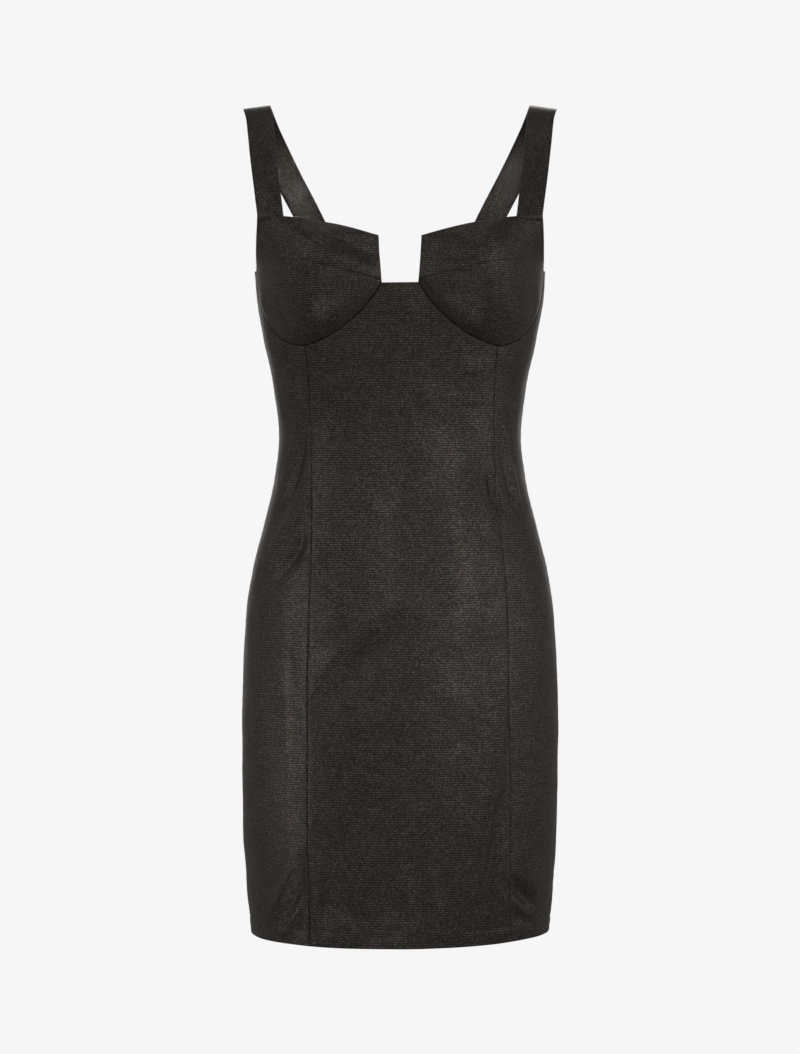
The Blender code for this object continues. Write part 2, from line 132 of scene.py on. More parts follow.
FINE = 0.0022  # spacing of the cloth's points
SEAM_STEPS = (0.0, 0.00012, 0.0003, 0.0006, 0.0011, 0.0019, 0.0032)  # columns beside a seam or an edge
SEAM_ROUND = 0.0011  # the cloth turns in towards a seam with this radius
SEAM_DEEP = 0.0010  # and then runs this much further in, beside the stitches
SEAM_NARROW = 0.0005
FOLD_FALL = 0.0007  # and where it is folded under at an edge
CREASE_CALM = 0.004  # creases die away this near a body seam
CUP_CALM = 0.005  # and this near the wire line
TOP_EDGE_CALM = 0.008  # and this near the cups' top edge
PUCKER_HEIGHT = 0.00013  # ripples that stitches draw up beside a seam
PUCKER_REACH = 0.0075
PUCKER_PITCHES = (0.0115, 0.0067)
TURN_UP = 0.0145  # height of the hem's turn-up
TURN_UP_LIFT = 0.0005
TURN_UP_EDGE = 0.0006  # over which that lift comes in
TURN_UP_PRESS = 0.0013  # how deep its stitches press the cloth
STITCH_ABOVE = 0.0009  # the hem's stitch line lies this far above the turn-up's edge
STITCH_REACH = 0.0011
STITCH_PITCH = 0.0062  # between the dimples of that line
CENTRE_WIDTH = 0.205  # usual lengths of the pieces' rows and columns, which only set how their points stand
SIDE_WIDTH = 0.115
BACK_WIDTH = 0.220
CUP_WIDTH = 0.210
CUP_HEIGHTS = {"upper": 0.046, "lower": 0.085}
STRAP_WIDTH = 0.028
STRAP_SPAN = 0.058  # usual distance between two of the strap's stations
STRAP_TUCK = 0.007  # how far a strap's ends run on inside
STRAP_STITCH_IN = 0.0024  # the strap's stitches stand this far from its edges
STRAP_STITCH_REACH = 0.0009
STRAP_STITCH_DEPTH = 0.00035
STRAP_STITCH_PITCH = 0.0048
LEAST_WALL = 0.0001  # what is left of a wall where both its faces turn in
LINING_STEP = 0.00015  # the lining stands this much proud of the cloth turned in beside it
ZIP_TAPE = 0.0005  # one zip tape's thickness
TAPE_TOP = 0.0008  # how far below the back neck the tapes start
TAPE_FINE = 0.0011  # spacing of their points
TAPE_RELIEF = 0.00016  # height of a tape's selvedge and depth of its stitches
TAPE_SINK = 0.0001
TAPE_SELVEDGE_IN = 0.0009
TAPE_SELVEDGE_REACH = 0.0006
TAPE_STITCH_OUT = 0.0052  # from the centre line
TAPE_STITCH_REACH = 0.0004
TAPE_STITCH_PITCH = 0.0028
COIL_TOP = 0.0030
COIL_END = 0.0010
COIL_PITCH = 0.00125
COIL_HALF_WIDTH = 0.00125
COIL_HALF_DEPTH = 0.00055
COIL_WIRE = 0.0003  # radius of the coil's nylon
COIL_MIDDLE = 0.0008  # from the centre line to the middle of one tape's coil
TURN_IN = 0.0035  # how far the cloth shows inside, past a folded edge, before the lining starts

# ---------------------------------------------------------------- the form that every panel lies on


def smooth_rows(rows, drop, column):
    """A column of a table at any drops, by a cubic that never overshoots the rows."""
    place = np.array([row.drop for row in rows])
    value = np.array([getattr(row, column) for row in rows])
    slope = np.diff(value) / np.diff(place)
    before, after = slope[:-1], slope[1:]
    same_way = before * after > 0
    mean = 2 * before * after / np.where(same_way, before + after, 1.0)
    tangent = np.concatenate(([slope[0]], np.where(same_way, mean, 0.0), [slope[-1]]))
    i = np.clip(np.searchsorted(place, drop, side="right") - 1, 0, len(slope) - 1)
    span = place[i + 1] - place[i]
    t = np.clip((drop - place[i]) / span, 0.0, 1.0)
    rise = (value[i + 1] - value[i]) * t * t * (3 - 2 * t)
    start = tangent[i] * span * t * (1 - t) ** 2
    end = tangent[i + 1] * span * t * t * (t - 1)
    return value[i] + rise + start + end


def square_of(turn, drop):
    """How square the section is here: 2 is an ellipse, and more has flatter faces."""
    sides = np.where(
        turn < 0, smooth_rows(SECTIONS, drop, "left_square"), smooth_rows(SECTIONS, drop, "right_square")
    )
    return np.where(np.cos(turn) < 0, smooth_rows(SECTIONS, drop, "back_square"), sides)


def signed_power(value, power):
    return np.copysign(np.abs(value) ** power, value)


def body_point(turn, drop):
    """Points of the dress's outer face, from their turns round the body and their drops."""
    turn, drop = np.broadcast_arrays(np.asarray(turn, float), np.asarray(drop, float))
    power = 2 / square_of(turn, drop)
    side, fore = np.sin(turn), np.cos(turn)
    front, back = smooth_rows(SECTIONS, drop, "front"), smooth_rows(SECTIONS, drop, "back")
    x = smooth_rows(SECTIONS, drop, "half_width") * signed_power(side, power)
    y = -np.where(fore > 0, front, back) * signed_power(fore, power)
    return np.stack([x, y, -drop], axis=-1)


def body_normal(turn, drop):
    """Directions straight out of the form."""
    step_turn, step_drop = 0.004, 0.0008
    round_it = body_point(turn + step_turn, drop) - body_point(turn - step_turn, drop)
    down = body_point(turn, drop + step_drop) - body_point(turn, drop - step_drop)
    return unit(np.cross(down, round_it))


def unit(vectors):
    return vectors / np.maximum(np.linalg.norm(vectors, axis=-1, keepdims=True), 1e-12)


def settle(turn, drop):
    """Drops once the hem's rise at the side seams is shared out over the rows below the cups."""
    lowest = CUP_LEVEL + CUP_DEPTH
    share = np.maximum(0.0, (drop - lowest) / (HEM_DROP - lowest))
    return drop - HEM_RISE * share * np.sin(turn) ** 2


def turn_at(x, drop, back=False):
    """The turns of the points that lie at x, on the front or on the back."""
    x, drop = np.broadcast_arrays(np.asarray(x, float), np.asarray(drop, float))
    towards = np.copysign(0.001, x)
    square = square_of(math.pi - towards if back else towards, drop)
    share = np.minimum(1.0, np.abs(x) / smooth_rows(SECTIONS, drop, "half_width"))
    turn = np.arcsin(share ** (square / 2))
    return np.copysign(math.pi - turn if back else turn, x)


def back_neck(turn):
    """Drop of the back's top edge: level at the underarm, a little lower at the centre back."""
    share = (np.abs(turn) - math.pi / 2) / (math.pi / 2)
    return UNDERARM_DROP + (BACK_NECK_DROP - UNDERARM_DROP) * share * share * (3 - 2 * share)


def top_edge_drop(reach):
    share = np.clip((reach - NOTCH_TOP) / (ARMHOLE_REACH - NOTCH_TOP), 0.0, 1.0)
    return TOP_EDGE_START - TOP_EDGE_RISE * (1 - (1 - share) ** TOP_EDGE_BEND)


class Cup:
    """The lines of one cup: its wire line, its cross seam and its top edge."""

    def __init__(self, side):
        self.side = side
        self.word = "right" if side > 0 else "left"
        self.centre = getattr(PRINCESS[0], self.word)
        self.inner_radius = self.centre - CUP_INNER_REACH
        self.outer_radius = CUP_OUTER_REACH - self.centre
        share = (self.centre - NOTCH_BOTTOM) / self.inner_radius
        self.first = math.acos(share ** (WIRE_INNER_BEND / 2))

    def wire(self, angle):
        """(reach, drop) of the wire line: 90 degrees at its lowest point, 180 at the underarm."""
        inner = angle < math.pi / 2
        radius = np.where(inner, self.inner_radius, self.outer_radius)
        power = 2 / np.where(inner, WIRE_INNER_BEND, WIRE_OUTER_BEND)
        aside = -signed_power(np.cos(angle), power)
        down = np.maximum(0.0, np.sin(angle)) ** power
        return self.centre + radius * aside, CUP_LEVEL + CUP_DEPTH * down

    def share(self, reach):
        return np.clip((reach - NOTCH_BOTTOM) / (CUP_OUTER_REACH - NOTCH_BOTTOM), 0.0, 1.0)

    def seam_drop(self, reach):
        return CUP_SEAM_START - CUP_SEAM_RISE * (1 - (1 - self.share(reach)) ** CUP_SEAM_BEND)

    def point(self, angle, level):
        """Level 0 is the wire line, 1 is the cross seam and 2 is the top edge."""
        reach, low = self.wire(angle)
        share = self.share(reach)
        middle = self.seam_drop(reach)
        full = CUP_BULGE * np.sin(math.pi * share)
        edge = EDGE_BULGE * (1 - share * share)
        under = np.clip(level, 0.0, 1.0)
        over = np.clip(level - 1, 0.0, 1.0)
        top_reach = NOTCH_TOP + (ARMHOLE_REACH - NOTCH_TOP) * share
        lower_drop = low + (middle - low) * under
        upper_drop = middle + (top_edge_drop(top_reach) - middle) * over
        drop = np.where(level <= 1, lower_drop, upper_drop)
        reach = reach + (top_reach - reach) * over
        lower_bulge = full * np.sin(math.pi / 2 * under) ** CUP_ROUND
        upper_bulge = edge + (full - edge) * np.cos(math.pi / 2 * over)
        base = body_point(turn_at(self.side * reach, drop), drop)
        base[..., 1] -= np.where(level <= 1, lower_bulge, upper_bulge)
        return base


# ---------------------------------------------------------------- creases, ridges and puckers

# A soft ridge (height over 0) or trough, along a bowed line between two places. x is across, or on a cup
# the reach from the centre line. bow is how far the line's middle stands aside, and width is half the width.
Crease = namedtuple("Crease", "x0 drop0 x1 drop1 bow width height")
FRONT_CREASES = (
    # over the hips: the long slanting fold and the slack round it
    (-0.014, 0.498, -0.092, 0.598, 0.003, 0.0130, 0.0047),
    (0.003, 0.514, -0.079, 0.615, 0.003, 0.0125, -0.0048),
    (0.004, 0.522, -0.069, 0.617, 0.003, 0.0220, -0.0030),
    (-0.033, 0.486, -0.088, 0.556, 0.004, 0.0200, 0.0036),
    (0.002, 0.350, -0.002, 0.510, 0.002, 0.0220, -0.0036),
    (0.062, 0.360, 0.070, 0.560, 0.006, 0.0300, 0.0040),
    (-0.119, 0.450, -0.106, 0.820, 0.003, 0.0150, 0.0030),
    # at the waist: drag lines from the side seams, and dents beside the princess seams
    (0.089, 0.372, 0.099, 0.428, 0.001, 0.0065, -0.0060),
    (0.064, 0.268, 0.082, 0.280, 0.001, 0.0085, 0.0026),
    (0.048, 0.317, 0.084, 0.313, 0.001, 0.0030, -0.0014),
    (0.030, 0.293, 0.086, 0.300, 0.002, 0.0070, -0.0010),
    (0.098, 0.290, 0.112, 0.372, 0.001, 0.0034, 0.0022),
    (0.104, 0.304, 0.117, 0.378, 0.001, 0.0032, -0.0022),
    (0.104, 0.330, 0.124, 0.418, 0.001, 0.0038, 0.0026),
    (0.100, 0.352, 0.120, 0.436, 0.002, 0.0040, -0.0022),
    (-0.094, 0.318, -0.126, 0.430, 0.004, 0.0085, -0.0056),
    (-0.092, 0.392, -0.134, 0.458, 0.004, 0.0080, 0.0052),
    (-0.094, 0.436, -0.130, 0.490, 0.003, 0.0075, -0.0056),
    (-0.0945, 0.325, -0.0935, 0.540, 0.000, 0.0030, 0.0012),
    (-0.118, 0.258, -0.098, 0.306, 0.002, 0.0065, -0.0020),
    (-0.085, 0.350, -0.030, 0.372, -0.003, 0.0090, 0.0018),
    # near the hem
    (-0.099, 0.750, -0.136, 0.830, 0.004, 0.0075, 0.0032),
    (-0.089, 0.756, -0.126, 0.836, 0.004, 0.0080, -0.0048),
    (-0.096, 0.800, -0.120, 0.846, 0.002, 0.0060, 0.0030),
    (-0.086, 0.784, -0.075, 0.850, 0.001, 0.0080, -0.0052),
    (-0.074, 0.802, -0.034, 0.840, 0.003, 0.0100, -0.0044),
    (-0.044, 0.838, 0.032, 0.834, 0.001, 0.0090, 0.0036),
    (0.003, 0.770, 0.015, 0.846, 0.001, 0.0050, 0.0015),
    (0.024, 0.766, 0.042, 0.844, 0.001, 0.0046, 0.0020),
    (0.012, 0.780, 0.026, 0.846, 0.001, 0.0050, -0.0015),
    (0.105, 0.565, 0.093, 0.740, 0.002, 0.0050, 0.0032),
    (0.100, 0.650, 0.061, 0.846, 0.005, 0.0050, 0.0036),
    (0.108, 0.690, 0.075, 0.836, 0.003, 0.0056, -0.0016),
    (0.106, 0.710, 0.085, 0.846, 0.002, 0.0046, 0.0022),
    (0.108, 0.790, 0.140, 0.824, 0.002, 0.0075, -0.0056),
    (0.104, 0.828, 0.138, 0.834, 0.001, 0.0055, -0.0030),
    (0.110, 0.808, 0.134, 0.832, 0.001, 0.0044, 0.0026),
)
BACK_CREASES = (
    # slack over the lower back, drag lines from the seat, and small folds at the hem
    (-0.090, 0.352, -0.012, 0.372, 0.004, 0.0080, -0.0029),
    (0.092, 0.360, 0.010, 0.380, 0.005, 0.0085, -0.0030),
    (-0.070, 0.330, -0.014, 0.342, 0.003, 0.0070, 0.0021),
    (0.078, 0.336, 0.016, 0.350, 0.003, 0.0070, 0.0022),
    (-0.108, 0.392, -0.040, 0.412, -0.004, 0.0085, 0.0019),
    (0.102, 0.396, 0.034, 0.418, -0.003, 0.0080, 0.0018),
    (-0.128, 0.440, -0.070, 0.520, 0.005, 0.0120, -0.0022),
    (0.130, 0.452, 0.076, 0.532, 0.004, 0.0120, -0.0024),
    (-0.050, 0.600, -0.112, 0.690, 0.006, 0.0140, -0.0029),
    (0.056, 0.590, 0.106, 0.705, 0.006, 0.0130, -0.0026),
    (-0.095, 0.560, -0.080, 0.800, 0.005, 0.0160, 0.0026),
    (0.088, 0.575, 0.094, 0.790, -0.005, 0.0150, 0.0026),
    (-0.030, 0.780, -0.022, 0.838, 0.001, 0.0060, 0.0018),
    (0.036, 0.795, 0.030, 0.838, 0.001, 0.0055, -0.0018),
    (0.122, 0.790, 0.134, 0.836, 0.002, 0.0080, -0.0022),
    (-0.126, 0.800, -0.118, 0.836, 0.002, 0.0075, 0.0019),
    (-0.110, 0.232, -0.060, 0.262, 0.003, 0.0070, -0.0014),
    (0.112, 0.226, 0.058, 0.258, 0.003, 0.0070, -0.0014),
)
LEFT_CUP_CREASES = (
    (0.074, 0.126, 0.020, 0.138, 0.001, 0.0120, 0.0046),
    (0.112, 0.130, 0.036, 0.178, 0.003, 0.0065, 0.0034),
    (0.096, 0.130, 0.032, 0.172, 0.003, 0.0030, -0.0015),
    (0.070, 0.138, 0.018, 0.164, 0.002, 0.0085, -0.0034),
    (0.087, 0.131, 0.026, 0.178, 0.003, 0.0045, 0.0020),
    (0.126, 0.132, 0.100, 0.158, 0.002, 0.0060, -0.0014),
    (0.112, 0.180, 0.026, 0.193, 0.001, 0.0105, -0.0026),
    (0.122, 0.232, 0.062, 0.224, -0.003, 0.0180, 0.0026),
    (0.140, 0.186, 0.138, 0.226, 0.002, 0.0040, 0.0012),
    (0.124, 0.208, 0.106, 0.236, 0.001, 0.0045, -0.0012),
)
RIGHT_CUP_CREASES = (
    (0.022, 0.138, 0.076, 0.125, 0.001, 0.0130, 0.0024),
    (0.093, 0.108, 0.092, 0.166, 0.001, 0.0080, 0.0035),
    (0.026, 0.162, 0.082, 0.166, 0.001, 0.0080, -0.0020),
    (0.078, 0.114, 0.074, 0.160, 0.002, 0.0050, -0.0012),
    (0.118, 0.124, 0.112, 0.156, 0.001, 0.0060, -0.0011),
    (0.034, 0.190, 0.098, 0.200, 0.002, 0.0105, -0.0026),
    (0.044, 0.206, 0.088, 0.212, 0.001, 0.0040, -0.0014),
    (0.052, 0.172, 0.090, 0.166, 0.001, 0.0045, 0.0012),
    (0.100, 0.238, 0.060, 0.224, -0.002, 0.0150, 0.0020),
    (0.141, 0.184, 0.139, 0.226, 0.002, 0.0040, 0.0012),
)

# Slow unevenness of worn cloth: waves (metres long) that cross at odd angles
Wave = namedtuple("Wave", "length heading phase height")
WAVES = (
    Wave(0.083, 0.4, 0.3, 0.00022),
    Wave(0.061, 1.3, 1.9, 0.00016),
    Wave(0.047, 2.2, 4.0, 0.00013),
    Wave(0.034, 0.9, 2.7, 0.00008),
    Wave(0.027, 2.8, 5.2, 0.00006),
    Wave(0.019, 1.7, 0.8, 0.00004),
)


def near(gap, reach):
    """1 on a line, and less and less away from it."""
    return np.exp(-((gap / reach) ** 2))


def crease_line(crease, steps=15):
    """(x, drop) along a crease, and how strong it is there: it fades out at both ends."""
    t = np.linspace(0.0, 1.0, steps)
    x = crease.x0 + (crease.x1 - crease.x0) * t
    drop = crease.drop0 + (crease.drop1 - crease.drop0) * t
    length = math.hypot(crease.x1 - crease.x0, crease.drop1 - crease.drop0)
    aside = crease.bow * np.sin(math.pi * t)
    x = x + aside * (crease.drop1 - crease.drop0) / length
    drop = drop - aside * (crease.x1 - crease.x0) / length
    return x, drop, np.sin(math.pi * t)


def nearest_on(points, line, values):
    """Distance from each point to the line through the given points, and the line's value there."""
    gap = np.full(points.shape[:-1], 1e9)
    value = np.zeros(points.shape[:-1])
    for k in range(len(line) - 1):
        start, way = line[k], line[k + 1] - line[k]
        length = way @ way
        if length > 1e-14:
            t = np.clip(((points - start) @ way) / length, 0.0, 1.0)
            distance = np.linalg.norm(points - start - t[..., None] * way, axis=-1)
            nearer = distance < gap
            gap = np.where(nearer, distance, gap)
            value = np.where(nearer, values[k] * (1 - t) + values[k + 1] * t, value)
    return gap, value


def raise_along(points, line, strength, crease):
    """Heights of one crease over the points: its middle follows the line."""
    reach = 3 * crease.width
    flat = points.reshape(-1, 3)
    result = np.zeros(len(flat))
    low, high = line.min(axis=0) - reach, line.max(axis=0) + reach
    inside = np.all((flat >= low) & (flat <= high), axis=1)
    if inside.any():
        gap, here = nearest_on(flat[inside], line, strength)
        result[inside] = crease.height * here * near(gap, crease.width)
    return result.reshape(points.shape[:-1])


# How far the side fronts sink beside the princess seams, where they turn back from the centre front
Corner = namedtuple("Corner", "drop left right")
CORNERS = (
    Corner(0.255, 0.0, 0.0),
    Corner(0.330, 0.0005, 0.0009),
    Corner(0.450, 0.0009, 0.0007),
    Corner(0.550, 0.0019, 0.0004),
    Corner(0.660, 0.0025, 0.0003),
    Corner(0.780, 0.0018, 0.0005),
    Corner(0.860, 0.0006, 0.0004),
)
CORNER_REACH = 0.017


def corner(points, drop):
    """The heights of those two corners: deepest at their reach from the seam."""
    height = np.zeros(points.shape[:-1])
    for side, word in ((-1, "left"), (1, "right")):
        out = side * points[..., 0] - smooth_rows(PRINCESS, drop, word)
        share = np.maximum(0.0, out) / CORNER_REACH
        deep = smooth_rows(CORNERS, drop, word) * share * np.exp(1 - share)
        height -= np.where(points[..., 1] < 0, deep, 0.0)
    return height


def body_relief(points, drop):
    """Heights of all the body's creases and of its slow unevenness."""
    height = corner(points, drop)
    for back, rows in ((False, FRONT_CREASES), (True, BACK_CREASES)):
        for crease in itertools.starmap(Crease, rows):
            x, down, strength = crease_line(crease)
            height += raise_along(points, body_point(turn_at(x, down, back), down), strength, crease)
    return height + waves(np.arctan2(points[..., 0], -points[..., 1]) * 0.14, drop)


def waves(across, down):
    total = np.zeros(np.broadcast(across, down).shape)
    for wave in WAVES:
        along = across * math.cos(wave.heading) + down * math.sin(wave.heading)
        total += wave.height * np.sin(2 * math.pi * along / wave.length + wave.phase)
    return total


def cup_relief(points, side):
    """The same on a cup, measured in the front view."""
    height = waves(points[..., 0] * 1.3 + 0.05, points[..., 2] * 1.1)
    level = points * np.array([1, 0, 1])
    for crease in itertools.starmap(Crease, RIGHT_CUP_CREASES if side > 0 else LEFT_CUP_CREASES):
        x, down, strength = crease_line(crease)
        height += raise_along(level, np.stack([side * x, 0 * x, -down], axis=1), strength, crease)
    return height


# ---------------------------------------------------------------- walls of cloth


def distance_to(points, line):
    return nearest_on(points, line, np.zeros(len(line)))[0]


def fall(distance, radius):
    """How far a face turns in as it comes near an edge that is rounded with this radius."""
    t = np.clip(1 - distance / radius, 0.0, 1.0)
    return radius * (1 - np.sqrt(1 - t * t))


# The line of a seam, and how deeply its stitches draw the cloth in at each point of it
Seam = namedtuple("Seam", "line strength")


def drawn_in(points, seam):
    """How far one seam draws the cloth in."""
    gap, strength = nearest_on(points, seam.line, seam.strength)
    rounded = fall(gap, SEAM_ROUND * np.maximum(strength, 0.05))
    return rounded + SEAM_DEEP * strength * np.exp(-gap / SEAM_NARROW)


def graded(length, spacing=FINE, start=SEAM_STEPS, end=SEAM_STEPS):
    """Shares of a length at which columns stand: evenly, and closer together at its ends."""
    first = [s for s in start if s < length * 0.3]
    last = [s for s in end if s < length * 0.3]
    low, high = first[-1], length - last[-1]
    count = max(2, round((high - low) / spacing))
    middle = np.linspace(low, high, count + 1)[1:-1]
    return np.concatenate((first, middle, [length - s for s in last[::-1]])) / length


def cloth_mesh(name, outer, inner, weave, inside, materials):
    """A closed wall between two grids of points, with rows down and columns left to right from outside.

    weave holds each point's place in the cloth in metres, across and down. inside marks the inner faces
    that show the lining.
    """
    rows, columns = outer.shape[:2]
    count = rows * columns
    index = np.arange(count).reshape(rows, columns)
    a, b, c, d = index[:-1, :-1], index[1:, :-1], index[1:, 1:], index[:-1, 1:]
    front = np.stack([a, b, c, d], axis=-1).reshape(-1, 4)
    back = front[:, ::-1] + count
    border = np.concatenate((index[0, ::-1], index[1:, 0], index[-1, 1:], index[-2:0:-1, -1]))
    following = np.roll(border, -1)
    rim = np.stack([border, border + count, following + count, following], axis=-1)
    faces = np.concatenate((front, back, rim))
    mesh = bpy.data.meshes.new(name)
    mesh.vertices.add(2 * count)
    mesh.vertices.foreach_set("co", np.concatenate((outer, inner)).reshape(-1).astype(np.float32))
    mesh.loops.add(faces.size)
    mesh.loops.foreach_set("vertex_index", faces.reshape(-1).astype(np.int32))
    mesh.polygons.add(len(faces))
    mesh.polygons.foreach_set("loop_start", np.arange(0, faces.size, 4, dtype=np.int32))
    lined = np.zeros(len(faces), np.int32)
    lined[len(front) : 2 * len(front)] = inside[:-1, :-1].reshape(-1)
    mesh.polygons.foreach_set("material_index", lined)
    mesh.update(calc_edges=True)
    mesh.validate()
    place = np.concatenate((weave.reshape(-1, 2), weave.reshape(-1, 2)))
    layer = mesh.uv_layers.new(name="cloth")
    layer.data.foreach_set("uv", place[faces.reshape(-1)].reshape(-1).astype(np.float32))
    mesh.shade_smooth()
    for material in materials:
        mesh.materials.append(material)
    obj = bpy.data.objects.new(name, mesh)
    bpy.context.scene.collection.objects.link(obj)
    return obj


def along_rows(points):
    """Lengths along each row, from its middle."""
    step = np.linalg.norm(np.diff(points, axis=1), axis=-1)
    run = np.concatenate((np.zeros((len(points), 1)), np.cumsum(step, axis=1)), axis=1)
    return run - run[:, run.shape[1] // 2][:, None]


def add_cloth(
    node, form, normal, relief, weave, seams, folds, materials, rests_on, name=None, wall=WALL, slot="cloth"
):
    """One piece of cloth, in place of a CAD node.

    seams and folds are its edges, a fold just a line, and relief raises it off the form. A piece with a
    second material is lined with it.
    """
    seam_fall = np.zeros(relief.shape)
    fold_gap = np.full(relief.shape, 1.0)
    if seams:
        seam_fall = np.max([drawn_in(form, seam) for seam in seams], axis=0)
    if folds:
        fold_gap = np.min([distance_to(form, line) for line in folds], axis=0)
    outer_face = relief - seam_fall - fall(fold_gap, FOLD_FALL)
    inner_face = relief - wall + fall(fold_gap, wall - FOLD_FALL)
    inner_face = np.minimum(inner_face, outer_face - LEAST_WALL)
    inner_face = inner_face + np.where(fold_gap < TURN_IN, 0.0, LINING_STEP)
    outer = form + normal * outer_face[..., None]
    inner = form + normal * inner_face[..., None]
    inside = (fold_gap > TURN_IN) & (len(materials) > 1)
    piece = cloth_mesh(name or node + "_cloth", outer, inner, weave, inside, materials)
    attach(piece, "dress")
    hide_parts(node)


# ---------------------------------------------------------------- the front and the back


def puckers(gap, along, seed):
    """Small ripples that a row of stitches draws up beside a seam."""
    long, short = (2 * math.pi * along / pitch for pitch in PUCKER_PITCHES)
    ripple = np.sin(long + 1.3 * np.sin(along * 71 + seed)) + 0.5 * np.sin(short + seed)
    return PUCKER_HEIGHT * ripple * near(gap, PUCKER_REACH) * (0.6 + 0.4 * np.sin(along * 37 + seed))


def body_piece(node, turn, drop, seams, folds, materials, rests_on, seed):
    """A panel of the body, from grids of turns and drops."""
    settled = settle(turn, drop)
    form = body_point(turn, settled)
    normal = body_normal(turn, settled)
    relief = body_relief(form, settled)
    gap = np.min([distance_to(form, seam.line) for seam in seams], axis=0)
    relief = relief * (1 - 0.75 * near(gap, CREASE_CALM)) + puckers(gap, settled, seed)
    above = HEM_DROP - drop - TURN_UP
    turned_up = 1 / (1 + np.exp(above / TURN_UP_EDGE))
    across = along_rows(form)
    dimples = 0.75 + 0.25 * np.sin(2 * math.pi * across / STITCH_PITCH + seed)
    pressed = TURN_UP_PRESS * near(above - STITCH_ABOVE, STITCH_REACH) * dimples
    relief = relief + TURN_UP_LIFT * turned_up - pressed
    weave = np.stack([across, settled], axis=-1)
    add_cloth(node, form, normal, relief, weave, seams, folds, materials, rests_on)


def body_drops(start):
    length = HEM_DROP - start
    return start + length * graded(length, start=(0.0,))[1:]


def arc_angles(cup, start, end):
    """Angles that stand evenly along the wire line."""
    fine = np.linspace(start, end, 600)
    reach, drop = cup.wire(fine)
    run = np.concatenate(([0.0], np.cumsum(np.hypot(np.diff(reach), np.diff(drop)))))
    return np.interp(np.linspace(0, run[-1], max(8, round(run[-1] / FINE))), run, fine)


def wire_strength(angles):
    """Depth of the wire line's seam: crisp from the notch to under the cup, fainter up the outer side."""
    return 1.0 - 0.6 * np.clip((angles - 2.2) / (math.pi - 2.2), 0.0, 1.0)


def uneven(along, low, high, seed):
    """Strengths that drift slowly between low and high."""
    drift = 0.5 + 0.3 * np.sin(along * 47 + seed) + 0.2 * np.sin(along * 113 + 2.1 * seed)
    return low + (high - low) * np.clip(drift, 0.0, 1.0)


def front_seam(cup, angles, turn, drop):
    """One cup's wire seam and the princess seam below it."""
    below = drop[len(angles) :]
    princess = uneven(below, 0.70, 1.00, 1.0) if cup.side < 0 else uneven(below, 0.40, 0.70, 2.5)
    return Seam(edge_line(turn, drop), np.concatenate((wire_strength(angles), princess)))


def side_seam(turn, drop, seed):
    return Seam(edge_line(turn, drop), uneven(drop, 0.35, 0.6, seed))


def front_edge(cup, angles):
    """(turn, drop) down one cup's wire line and then down its princess seam."""
    reach, drop = cup.wire(angles)
    below = body_drops(CUP_LEVEL + CUP_DEPTH)
    seam = smooth_rows(PRINCESS, below, cup.word)
    turn = np.concatenate((turn_at(cup.side * reach, drop), turn_at(cup.side * seam, below)))
    return turn, np.concatenate((drop, below))


def fan(start, end, shares):
    """A grid whose rows run from start to end, with columns at the given shares."""
    return start[:, None] * (1 - shares) + end[:, None] * shares


def edge_line(turn, drop):
    return body_point(turn, settle(turn, drop))


def make_centre_front(cups, materials):
    steps = arc_angles(cups[1], cups[1].first, math.pi / 2)
    share = (steps - steps[0]) / (steps[-1] - steps[0])
    edges = []
    seams = []
    for side in (-1, 1):
        angles = cups[side].first + (math.pi / 2 - cups[side].first) * share
        edges.append(front_edge(cups[side], angles))
        seams.append(front_seam(cups[side], angles, *edges[-1]))
    shares = graded(CENTRE_WIDTH)
    turn = fan(edges[0][0], edges[1][0], shares)
    drop = fan(edges[0][1], edges[1][1], shares)
    folds = [edge_line(turn[0], drop[0]), edge_line(turn[-1], drop[-1])]
    rests_on = ["front_side_left", "front_side_right"]
    body_piece("front_centre", turn, drop, seams, folds, materials, rests_on, 0.0)


def make_side_front(cup, materials):
    angles = arc_angles(cup, math.pi, math.pi / 2)
    edge_turn, edge_drop = front_edge(cup, angles)
    shares = graded(SIDE_WIDTH)
    side_turn = np.full(edge_turn.shape, cup.side * math.pi / 2)
    if cup.side > 0:
        turn = fan(edge_turn, side_turn, shares)
    else:
        turn = fan(side_turn, edge_turn, shares)
    drop = fan(edge_drop, edge_drop, shares)
    seams = [front_seam(cup, angles, edge_turn, edge_drop), side_seam(side_turn, edge_drop, cup.side)]
    folds = [edge_line(turn[-1], drop[-1])]
    rests_on = ["front_centre", f"back_{cup.word}"]
    body_piece(f"front_side_{cup.word}", turn, drop, seams, folds, materials, rests_on, 2.0 + cup.side)


def make_back(cup, materials):
    side = cup.side
    shares = graded(BACK_WIDTH)
    zip_turn = side * math.pi
    # the columns of the right half start at its side seam and those of the left at the zip
    start, end = (side * math.pi / 2, zip_turn) if side > 0 else (zip_turn, side * math.pi / 2)
    columns = start * (1 - shares) + end * shares
    length = HEM_DROP - BACK_NECK_DROP
    rows = graded(length)
    top = back_neck(columns)
    turn = np.broadcast_to(columns, (len(rows), len(columns))).copy()
    drop = top[None] * (1 - rows[:, None]) + HEM_DROP * rows[:, None]
    side_column = 0 if side > 0 else -1
    zip_column = -1 if side > 0 else 0
    middle = edge_line(turn[:, zip_column], drop[:, zip_column])
    seams = [side_seam(turn[:, side_column], drop[:, side_column], side)]
    seams.append(Seam(middle, np.where(-middle[:, 2] < ZIP_END_DROP, 1.0, 0.55)))
    folds = [edge_line(turn[0], drop[0]), edge_line(turn[-1], drop[-1])]
    rests_on = [f"front_side_{cup.word}", "back_right" if side < 0 else "back_left"]
    body_piece(f"back_{cup.word}", turn, drop, seams, folds, materials, rests_on, 5.0 + side)


# ---------------------------------------------------------------- the cups and the straps


def grid_normal(points):
    """Directions straight out of a grid of points."""
    down = np.gradient(points, axis=0)
    over = np.gradient(points, axis=1)
    return unit(np.cross(down, over))


